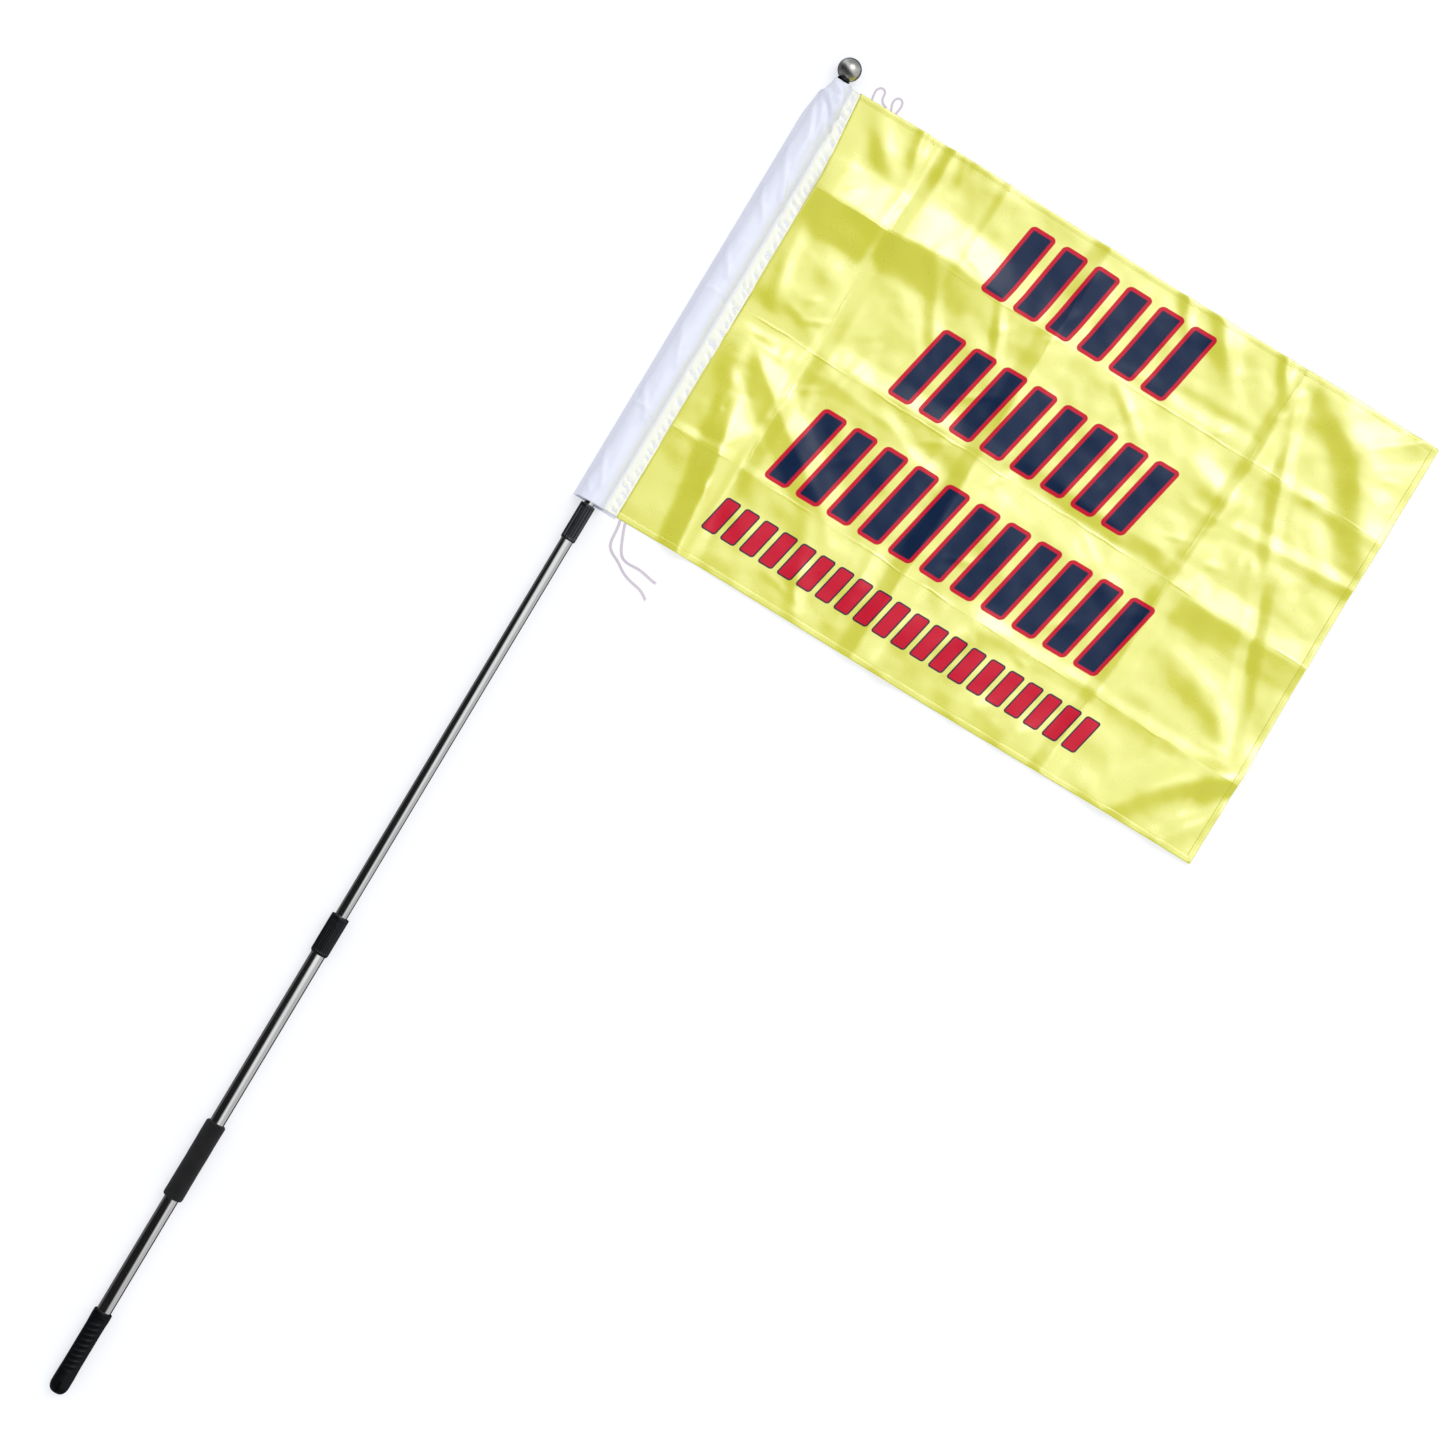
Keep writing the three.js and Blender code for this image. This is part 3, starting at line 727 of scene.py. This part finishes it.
ROUNDED_FOLDS = (
    # pressed folds along the fly
    (13, 16, (556, 1765, -1.6), (600, 1763, -2.4), (652, 1766, -1.4)),
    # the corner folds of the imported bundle
    (18, 34, (56, 1556, 2), (64, 1520, 4.4), (74, 1478, 2.4)),
    (15, 15, (240, 1392, 0.5), (262, 1340, 2), (282, 1290, 1.2)),
    # loose folds of the cloth as it lies
    (46, 30, (696, 1866, 2), (738, 1838, 5), (788, 1806, 5.5), (814, 1764, 6), (838, 1724, 6),
     (866, 1690, 4)),
    (24, 34, (866, 1404, 9), (812, 1364, 10), (772, 1326, 10), (732, 1278, 8)),
    (17, 15, (866, 1350, 3.4), (834, 1312, 3.6), (812, 1278, 3)),
    (26, 30, (530, 1402, 1), (484, 1384, 6), (446, 1338, 8.5), (420, 1278, 7.5)),
    (18, 18, (560, 1330, 0.6), (536, 1304, 3), (524, 1278, 3)),
    (18, 18, (616, 1330, 0.6), (596, 1304, 3), (584, 1278, 3)),
    (28, 26, (700, 1484, 1), (748, 1466, 2.8), (800, 1446, 3), (840, 1424, 0.8)),
    (26, 28, (596, 1702, 0.5), (640, 1686, 4), (676, 1676, 3)),
    (8, 12, (118, 1880, 4), (122, 1856, 3), (128, 1828, 0.8)),
    (9, 10, (163, 1880, 2.6), (164, 1850, 1.8), (160, 1812, 0.4)),
    (9, 10, (196, 1880, 2.4), (190, 1858, 1.6), (184, 1840, 0.4)),
    (18, 18, (60, 1864, 0.6), (86, 1832, 3), (112, 1808, 1.5)),
    (10, 12, (500, 1878, 3), (512, 1850, 2), (530, 1826, 0.5)),
    (18, 18, (548, 1878, 3.4), (572, 1842, 3.6), (604, 1806, 1)),
    (12, 12, (642, 1878, 3), (654, 1848, 3), (668, 1822, 1)),
    (16, 16, (578, 1572, 1.2), (604, 1500, 0.8)),
    (13, 13, (44, 1700, 1), (56, 1650, 1.8), (66, 1600, 1)),
)


def along_ridge(x, y, points):
    """Signed distance from a polyline (positive on its left), and the ridge's height at the nearest point."""
    nearest = np.full(np.shape(x), 1e9)
    signed = np.zeros(np.shape(x))
    height = np.zeros(np.shape(x))
    for (x0, y0, h0), (x1, y1, h1) in zip(points, points[1:]):
        dx, dy = x1 - x0, y1 - y0
        length = hypot(dx, dy)
        t = ((x - x0) * dx + (y - y0) * dy) / length**2
        inside = np.clip(t, 0, 1)
        gap = np.hypot(x - x0 - inside * dx, y - y0 - inside * dy)
        side = np.sign((y - y0) * dx - (x - x0) * dy)
        closer = gap < nearest
        nearest = np.where(closer, gap, nearest)
        signed = np.where(closer, gap * side, signed)
        height = np.where(closer, h0 + (h1 - h0) * inside, height)
    return signed, height


def ridge_height(x, y, crisp, rounded, wander=1.6):
    """The height of all the folds, whose lines wander a little."""
    total = np.zeros(np.shape(x))
    drift = perlin(x, y, 48, 5.3) * wander
    for folds in (crisp, rounded):
        for left, right, *points in folds:
            distance, height = along_ridge(x, y, points)
            distance = distance + drift
            spread = np.abs(distance) / np.where(distance > 0, left, right)
            # a crisp fold has two even slopes with a soft foot; a rounded one is a swell
            tent = 1.08 - np.sqrt(spread**2 + 0.002)
            total += height * ((tent + np.sqrt(tent**2 + 0.012)) / 2 if folds is crisp
                               else np.exp(-spread**2 * 1.9))
    return total


def small_creases(count, seed):
    """Short crisp creases at random places, left by folding and handling."""
    rng = np.random.default_rng(seed)
    creases = []
    for _ in range(count):
        x, y = rng.uniform(60, 840), rng.uniform(1290, 1860)
        heading, length = rng.normal(0.9, 0.7), rng.uniform(25, 95)
        dx, dy = cos(heading) * length / 2, sin(heading) * length / 2
        height, reach = rng.uniform(0.35, 1.1), rng.uniform(5, 10)
        creases.append((reach, reach, (x - dx, y - dy, 0), (x, y, height), (x + dx, y + dy, 0)))
    return creases


FOLD_GAIN = 1.06
LOFT = 2.4  # how far the folds hold the cloth off the surface on average
SETTLE = 1.4  # how firmly the cloth's low places lie flat on the surface


def flag_height(x, y):
    """The lying cloth's height above the surface."""
    swell = perlin(x, y, 150, 1.7) * 2.2 + perlin(x, y, 62, 9.4) * 1.2
    ripple = perlin(x, y, 26, 4.4) * 0.6 + perlin(x, y, 11, 7.7) * 0.08
    creases = ridge_height(x, y, small_creases(count=80, seed=11), ())
    raw = LOFT + ridge_height(x, y, CRISP_FOLDS, ROUNDED_FOLDS) * FOLD_GAIN + creases + swell + ripple
    lying = np.log1p(np.exp(raw * SETTLE)) / SETTLE
    at_seam = smooth(x, HOIST - 12, HOIST + 26)
    return FLAG_LIFT + 0.6 + (lying - 0.2) * (0.15 + 0.85 * at_seam)


def hoist_x(y):
    """The panel's seam line, pulled in towards the pole near the top."""
    return HOIST - GATHER_INSET * np.clip((y - GATHER_FROM) / (HOIST_HIGH - GATHER_FROM), 0, 1)


def on_flag(u, v):
    """Flat fractions of the panel (0 to 1 along the fly and up the hoist) to lying x and y."""
    low = HOIST_LOW + (FLY_LOW - HOIST_LOW) * u + 0.7 * np.sin(u * 9.0) * (1 - v)
    high = HOIST_HIGH + (FLY_HIGH - HOIST_HIGH) * u + 0.9 * np.sin(u * 7.0 + 1) * v * np.minimum(u * 8, 1)
    y = low + (high - low) * v
    left = hoist_x(y)
    x = left + (FLY - 0.4 + 0.8 * np.sin(v * 8) - left) * u
    return x, y


def sheet_object(name, x, y, z, flat_u, flat_v, material, thickness, seam=None):
    """A cloth sheet from grids of pole millimetres and of its flat coordinates, given a thickness."""
    points = np.stack([x, y, z], -1).reshape(-1, 3)
    obj = mesh_object(name, points, grid_faces(*np.shape(x)), material)
    attributes = obj.data.attributes
    flat = np.stack([flat_u, flat_v, np.zeros_like(flat_u)], -1) * MM
    attributes.new("flat", "FLOAT_VECTOR", "POINT").data.foreach_set("vector", np.ravel(flat))
    if seam is not None:
        attributes.new("seam", "FLOAT", "POINT").data.foreach_set("value", np.ravel(seam))
    solid = obj.modifiers.new("thickness", "SOLIDIFY")
    solid.thickness = thickness * MM
    solid.offset = -1
    return obj


def stitches(name, routes, pitch, length, gauge, material):
    """Sewing stitches along routes of pole millimetres: each is a short thread that dives into the cloth."""
    vertices, faces = [], []
    for route in routes:
        for start in np.arange(pitch / 2, distances(route)[-1] - length, pitch):
            centre = points_at(start + length * np.array((0, 0.16, 0.5, 0.84, 1)), route)
            centre[:, 2] += gauge * np.array((-0.7, 0.1, 0.45, 0.1, -0.7))
            side = unit(np.cross(centre[-1] - centre[0], UP))
            faces += [tuple(len(vertices) + i for i in face) for face in tube_faces(5, 6)]
            vertices += [c + (side * cos(a) + UP * sin(a)) * gauge / 2
                         for c in centre for a in np.arange(6) * pi / 3]
    return solid_object(name, vertices, faces, material)


def flag_panel():
    spacing = 3.3
    u, v = np.meshgrid(*(np.linspace(0, 1, int(side / spacing)) for side in (FLAG_WIDE, FLAG_HIGH)))
    x, y = on_flag(u, v)
    panel = sheet_object("flag_panel_cloth", x, y, flag_height(x, y), u * FLAG_WIDE, v * FLAG_HIGH, PRINTED,
                         CLOTH)
    return keep(panel, "flag", "yellow_cloth", "flag_panel")


HEM_WIDTH, STITCH_INSET = 5.0, 1.2


def hem(name, node, edge, inward):
    """A rolled hem: the edge folded over on itself, as a strip that rides on the panel's surface.

    edge(t) gives (u, v) on the panel's edge, inward the (u, v) step for one millimetre into the cloth.
    """
    t = np.linspace(0, 1, 300)
    across = np.array((-0.55, -0.7, -0.45, 0, 0.8, 2.2, 3.6, HEM_WIDTH, HEM_WIDTH + 1.5, HEM_WIDTH + 2.4))
    lift = np.array((-0.5, -0.2, 0.06, 0.15, 0.17, 0.17, 0.16, 0.11, 0.03, -0.04))
    u0, v0 = edge(t)
    u = u0[:, None] + inward[0] * across
    v = v0[:, None] + inward[1] * across
    x, y = on_flag(np.clip(u, 0, 1), np.clip(v, 0, 1))
    x = x + (np.minimum(u, 0) + np.maximum(u - 1, 0)) * FLAG_WIDE
    y = y + (np.minimum(v, 0) + np.maximum(v - 1, 0)) * FLAG_HIGH
    strip = sheet_object(name, x, y, flag_height(x, y) + lift, u * FLAG_WIDE, v * FLAG_HIGH, YELLOW, 0.2)
    keep(strip, "flag", "yellow_cloth", node)
    x, y = on_flag(u0 + inward[0] * (HEM_WIDTH - STITCH_INSET), v0 + inward[1] * (HEM_WIDTH - STITCH_INSET))
    return strip, np.stack([x, y, flag_height(x, y) + 0.24], -1)


IN_U, IN_V = 1 / FLAG_WIDE, 1 / FLAG_HIGH
panel_piece = flag_panel()
hem_pieces, hem_lines = zip(
    hem("bottom_hem_rolled", "bottom_hem", lambda t: (t, 0 * t), (0, IN_V)),
    hem("top_hem_rolled", "top_hem", lambda t: (t, 0 * t + 1), (0, -IN_V)),
    hem("fly_hem_rolled", "fly_hem", lambda t: (0 * t + 1, t), (-IN_U, 0)),
)
hem_stitching = stitches("hem_stitching", hem_lines, pitch=3.4, length=2.5, gauge=0.36,
                         material=YELLOW_THREAD)
keep(hem_stitching, "flag", "yellow_cloth")

# --- Sleeve ---
# The sleeve's section, as (x, z) points: from the seam along the underside, round the left fold, over the
# pole and back to the seam. It is loose and open along the pole, and gathered round the neck at its top.
LOOSE = ((36.9, 0.75), (26, 0.7), (17, 0.7), (4, 0.65), (-10, 0.65), (-19, 0.8), (-22.8, 1.7), (-23.3, 3.6),
         (-20.6, 8.5), (-16.9, 15.5), (-13.2, 22.6), (-7.6, 27.9), (0, 29.9), (7.6, 28.2), (12.9, 23.4),
         (15.6, 15.6), (16.2, 7.5), (17.4, 3.2), (20.4, 2.2), (27, 2), (36.9, 2.3))
GATHERED = ((26.9, 0.75), (20.5, 1), (15.5, 1.4), (7.5, 4.4), (0, 6.6), (-5, 8.2), (-8.2, 11), (-9.2, 14.4),
            (-9, 17.6), (-7.6, 20.6), (-5.2, 23), (-2.6, 24.4), (0.6, 24.9), (4, 24.2), (7.2, 22),
            (9.8, 18), (11.6, 12.5), (13.8, 7), (16.8, 3.4), (20.6, 2.2), (26.9, 2.3))
GATHER_START, SHOULDER = 1815, 1858
SEAM_START = 17.5

# The sleeve's folds, in the same form as the flag's.
SLEEVE_CRISP = (
    (2.4, 9, (-18, 1855, 2.4), (-9, 1858, 5), (0, 1852, 6), (7, 1842, 6), (19, 1812, 3)),
    (2.4, 6, (-3, 1878, 2.4), (7, 1866, 4.4), (13.5, 1848, 4), (20, 1830, 1.6)),
    (3, 6, (-12, 1848, 1), (-4, 1838, 2.4), (3, 1820, 2.6), (9, 1796, 1)),
    (5, 8, (-20, 1846, 1), (-10, 1826, 2.4), (0, 1794, 2.2), (4, 1756, 1)),
    (4, 6, (2, 1740, 1), (10, 1716, 1.8), (23, 1699, 1.4)),
    (3, 5, (-22, 1573, 0.8), (-4, 1577, 1.3), (5, 1575, 0.8)),
    (3, 3.4, (6, 1574, -0.8), (15, 1570, -1.5), (24, 1567, -1)),
    (4, 6, (3, 1486, 0.8), (12, 1470, 1.3), (19, 1462, 0.8)),
    (3, 5, (-21, 1409, 0.7), (-4, 1411, 1.2), (14, 1406, 0.8)),
)
SLEEVE_ROUNDED = (
    (3, 5, (-9, 1876, 1.6), (-2, 1868, 2.4), (4, 1864, 0.8)),
    (5, 7, (-20, 1790, 0.8), (-12, 1764, 1.4), (2, 1738, 1.4), (12, 1712, 1)),
    (4, 7, (-18, 1722, 0.6), (-8, 1700, 1.6), (4, 1684, 1.4), (17, 1664, 1)),
    (5, 6, (-19, 1636, 0.6), (-8, 1616, 1.4), (4, 1600, 1.2)),
    (5, 7, (-18, 1530, 0.6), (-8, 1508, 1.5), (4, 1474, 1.2)),
    (5, 6, (-20, 1440, 0.8), (-8, 1420, 1.4), (6, 1398, 1.1)),
    (5, 5, (-20, 1350, 0.8), (-10, 1326, 1.4), (2, 1300, 1.1)),
    (4, 4, (-16, 1300, 0.8), (-8, 1288, 1.2)),
    # the sharp valleys below the gathers
    (2.6, 3.4, (-2, 1846, -1.2), (6, 1834, -3.6), (13, 1820, -3.6), (20, 1808, -1.2)),
    (2.4, 3, (-6, 1862, -0.8), (0, 1856, -2.2), (5, 1847, -2.2), (9, 1838, -0.8)),
    (2.4, 3, (6, 1816, -0.6), (12, 1800, -2), (17, 1786, -0.6)),
)


def stitch_dents():
    """The short slanted dents that the sleeve's outer seam pulls into the cloth."""
    rng = np.random.default_rng(4)
    dents = []
    for y in np.arange(1282, 1872, 10.6):
        x, y = 30.4 + rng.normal(0, 0.9), y + rng.normal(0, 1.8)
        reach, rise, depth = rng.uniform(1.8, 3), rng.uniform(1, 2.8), rng.uniform(1.8, 3.6)
        depth *= 1 + 0.6 * smooth(y, 1740, 1800)
        dents.append((1.7, 1.7, (x - reach, y + rise, -depth), (x + reach, y - rise, -depth)))
        if rng.random() < 0.25:
            dents.append((1.8, 1.8, (x - 9, y + 5, -depth), (x - 5, y + 1, -depth)))
    return dents


def puckers(x, y):
    """Short slanted puckers that the stitching draws into the double seam."""
    pitch, slant = 10.5, 0.95
    phase = (y + slant * (x - SEAM_START)) / pitch + perlin(x * 0.4, y, 23, 2.2) * 0.5
    wave = 0.5 + 0.5 * np.cos(2 * pi * phase)
    strength = 0.55 + 0.45 * perlin(x * 0.3, y, 31, 6.6)
    return np.clip(strength, 0.1, 1.2) * wave**1.6 * band(x, SEAM_START + 0.5, SEAM_START + 4, 33, 36) * 0.55


def sleeve():
    rows, columns = 260, 118
    s = np.linspace(0, 1, columns)
    loose, gathered = resample(LOOSE, columns), resample(GATHERED, columns)
    front = smooth(s, 0.40, 0.52)  # 0 on the underside, 1 on the side that faces up
    back_edge, front_edge = span("pole_sleeve")[0].y - 0.3, HOIST_LOW - 0.6
    crest = smooth(loose[:, 1], 8, 30)
    low = back_edge + (front_edge - back_edge) * front + 0.4 * np.sin(s * 21) - 1.1 * crest
    top = HOIST_HIGH - 0.6 + 0.9 * np.sin(s * 17 + 1) * smooth(s, 0.2, 0.5)
    y = low + (top - low) * np.linspace(0, 1, rows)[:, None]
    gather = (0.28 * smooth(y, GATHER_START, SHOULDER) + 0.32 * smooth(y, SHOULDER - 2.5, SHOULDER + 3)
              + 0.4 * smooth(y, SHOULDER + 1, HOIST_HIGH + 2))
    x, z = (loose[:, i] * (1 - gather) + gathered[:, i] * gather for i in (0, 1))
    on_seam = smooth(loose[:, 0], SEAM_START - 1, SEAM_START + 5)
    edge_error = hoist_x(y[:, -1:]) + 0.6 - x[:, -1:]
    x = x + edge_error * smooth(loose[:, 0], 10, 34)
    # folds push the upper layer outwards from the pole's axis
    upper = front * (1 - smooth(loose[:, 0], 14, 17) * on_seam)
    push = (1.4 * ridge_height(x, y, SLEEVE_CRISP, SLEEVE_ROUNDED, 0.8) + 0.5
            + 0.7 * perlin(x * 1.6, y * 0.35, 15, 3.8) + 0.22 * perlin(x, y, 9, 6.1)) * upper
    reach = np.maximum(np.hypot(x, z - AXIS), 1)
    out_x, out_z = x / reach, (z - AXIS) / reach
    x, z = x + push * out_x * 0.6, z + push * out_z
    dents = ridge_height(x + HOIST - hoist_x(y), y, (), stitch_dents(), 0.3)
    z = z + (puckers(x, y) + dents + perlin(x, y, 34, 1.1) * 0.25) * front * on_seam
    hem_line = np.exp(-((y - low - 13) / 1.1) ** 2) * 0.35 * upper
    x, z = x - hem_line * out_x, np.maximum(z - hem_line * out_z, CLOTH + 0.15)
    flat_u = distances(loose)
    every = np.ones_like(x)
    seam_mask = smooth(loose[:, 0], SEAM_START, SEAM_START + 3) * front * every
    piece = sheet_object("pole_sleeve_cloth", x, y, z, flat_u * every, y - low, WHITE, CLOTH, seam_mask)
    keep(piece, "flag", "white_cloth", "pole_sleeve", "sleeve_seam")

    # two stitch lines: how far each is from the seam's start, and its share of the gathers' pull
    routes = []
    line_y = np.arange(HOIST_LOW + 2, HOIST_HIGH - 2, 1.0)
    station = (line_y - low[-1]) / (top[-1] - low[-1]) * (rows - 1)
    nearest = np.clip(np.rint(station).astype(int), 0, rows - 1)
    for offset, pull in ((2.5, 0.15), (15.6, 0.9)):
        line_x = SEAM_START + offset + (hoist_x(line_y) - HOIST) * pull
        line_z = []
        for row, at_x in zip(nearest, line_x):
            seam = (front > 0.9) & (x[row] > SEAM_START - 2)
            line_z.append(np.interp(at_x, x[row, seam], z[row, seam]) + 0.1)
        routes.append(np.stack([line_x, line_y, line_z], -1))
    thread = stitches("sleeve_stitching", routes, pitch=3.6, length=2.6, gauge=0.45, material=WHITE_THREAD)
    keep(thread, "flag", "white_cloth")


def resample(points, count):
    """A smooth outline through the points, at equal steps."""
    curve = spline(points, 0.4)
    return points_at(np.linspace(0, distances(curve)[-1], count), curve)


sleeve()

# --- Tie strings ---
# The routes are those of the CAD tapes, in millimetres.
ROUTES = {
    "bottom_tie_long": (
        (42.7, 1276), (44.2, 1269.5), (45.3, 1262), (45.9, 1254.5), (46.8, 1247.5), (49.2, 1241.6),
        (53.2, 1237.4), (58.6, 1234.2), (64.6, 1231.4), (70.6, 1227.8), (77, 1223.6), (84, 1220.2),
        (91.5, 1217.9), (99, 1216.4), (106, 1215), (112.4, 1212.4), (118, 1208.6)),
    "bottom_tie_short": (
        (49.9, 1276), (52.6, 1268), (55.6, 1260.6), (58.8, 1253.2), (62.2, 1246), (66.4, 1239.8),
        (71.6, 1236.2), (78, 1234.9), (84.8, 1235), (91.6, 1235.4), (98.6, 1235), (105.4, 1233.8),
        (112, 1232.4), (118.4, 1231.4)),
    "top_tie_inner": (
        (42, 1878.6), (41, 1884.2), (40.4, 1889.2), (41, 1893.8), (44, 1897.2), (48.4, 1897.6),
        (51.4, 1894.6), (52, 1890), (53.2, 1885.6), (56.6, 1882), (62.4, 1879.5)),
    "top_tie_outer": (
        (69.6, 1878.6), (67.4, 1883.6), (65.9, 1888.4), (65.8, 1892.8), (67.9, 1896.6), (71.6, 1898),
        (75.2, 1896.4), (77, 1892.6), (77.2, 1888), (76.6, 1883.4), (75.8, 1878.6)),
}
LOWER_TAPE, UPPER_TAPE = 3.4, 2.6
TAPE_THICKNESS, TAPE_HEIGHT = 1.1, 0.9


def tape_section(width):
    """A soft woven tape: rounded edges and a few lengthwise cords in its two faces."""
    outline = []
    for a in np.arange(32) * pi / 16:
        side = copysign(abs(cos(a)) ** 0.45, cos(a)) * width / 2
        up = copysign(abs(sin(a)) ** 0.7, sin(a)) * TAPE_THICKNESS / 2
        outline.append((side, up * (1 + 0.12 * cos(side / width * 2 * pi * 3))))
    return outline


def frayed_end(name, end, heading, width):
    """The loose threads past a tape's cut end."""
    rng = np.random.default_rng(len(name))
    vertices, faces = [], []
    thread = arc((0, 0), (0.16, 0.16), 0, 5 * pi / 3, 6)
    ahead = np.array((cos(heading), sin(heading)))
    across = np.array((-ahead[1], ahead[0]))
    for offset in np.linspace(-0.4, 0.4, 8) * width:
        bend, length = rng.normal(0, 0.35), rng.uniform(2.2, 4.6)
        t = np.linspace(0, 1, 6)
        flat = (end + across * offset + np.outer(t * length - 0.8, ahead)
                + np.outer(t**2 * length * bend + t * offset * 0.3, across))
        route = np.column_stack([flat, TAPE_HEIGHT + rng.uniform(-0.25, 0.25) - 0.45 * t])
        points, sides = sweep(route, thread, 0.5)
        faces += [tuple(len(vertices) + i for i in face) for face in sides]
        vertices += points.tolist()
    return solid_object(name, vertices, faces, STRING, crease=80)


def tie(node):
    flat = np.array(ROUTES[node])
    lower = node.startswith("bottom")
    width = LOWER_TAPE if lower else UPPER_TAPE
    route = spline([(x, y, TAPE_HEIGHT) for x, y in flat], 0.5)
    roll = (lambda t: 0.22 * np.sin(t * 9)) if lower else None
    tape = solid_object(node + "_tape", *sweep(route, tape_section(width), 0.6, roll), STRING, crease=60)
    keep(tape, "flag", "tie_string", node)
    threads = []
    if lower:
        tail = flat[-1] - flat[-2]
        threads.append(frayed_end(node + "_fray", flat[-1], atan2(tail[1], tail[0]), width))
        keep(threads[0], "flag", "tie_string")


for node_name in ROUTES:
    tie(node_name)

# --- Floor, light and world ---
FLOOR_REACH, FLOOR_DROP = 30.0, 0.0002  # in metres
floor_mesh = bpy.data.meshes.new("floor")
floor_corners = [(x * FLOOR_REACH, y * FLOOR_REACH, 0) for x, y in ((-1, -1), (1, -1), (1, 1), (-1, 1))]
floor_mesh.from_pydata(floor_corners, [], [(0, 1, 2, 3)])
floor_mesh.materials.append(floor_paper())
floor = link("floor", floor_mesh)
floor.location.z = -FLOOR_DROP
floor.visible_glossy = False

key = bpy.data.lights.new("key", "SUN")
key.energy, key.angle, key.color = 0.95, radians(36), (1.0, 0.975, 0.93)
azimuth, elevation = radians(66), radians(55)  # azimuth turns from +X towards +Y
source = Vector((cos(azimuth) * cos(elevation), sin(azimuth) * cos(elevation), sin(elevation)))
lamp = link("key", key)
lamp.rotation_mode = "QUATERNION"
lamp.rotation_quaternion = source.to_track_quat("Z", "Y")


def studio_world():
    """An even pale sky for matt surfaces; glossy ones see a dark room with a great window to +Y."""
    world = bpy.data.worlds.new("studio")
    bpy.context.scene.world = world
    w = Nodes(world)
    x, y, z = w.node("SeparateXYZ", {0: w.node("TexCoord").outputs["Generated"]}).outputs
    towards = w.plus(w.times(x, 0.4), w.times(y, 0.92))
    glass = w.times(w.step(towards, -0.13, 0.1), w.step(x, 0.55, 0.97, 1.0, 0.6))
    height = w.times(w.step(z, -0.62, -0.36, 0.0, 1.4), w.step(y, 0.5, 0.85, 1.0, 0.35))
    wall = w.times(w.step(y, -0.3, -0.75, 0.0, 0.22), w.step(z, 0.75, 0.35))
    ground = w.times(w.step(z, 0.05, -0.1), w.step(x, -0.1, -0.4, 0.0, 0.16))
    room = w.plus(w.plus(w.plus(w.times(glass, height), wall), ground), 0.02)
    sky = w.node("Background", {"Color": (0.9, 0.945, 1.08, 1), "Strength": 0.89}).outputs[0]
    seen = w.node("Background", {"Color": (0.87, 0.91, 1.0, 1), "Strength": room}).outputs[0]
    glossy = w.node("LightPath").outputs["Is Glossy Ray"]
    mixed = w.node("MixShader", {"Fac": glossy, 1: sky, 2: seen}).outputs[0]
    w.node("OutputWorld", {"Surface": mixed})


studio_world()

bpy.context.scene.view_settings.view_transform = "Standard"
bpy.context.scene.view_settings.look = "None"
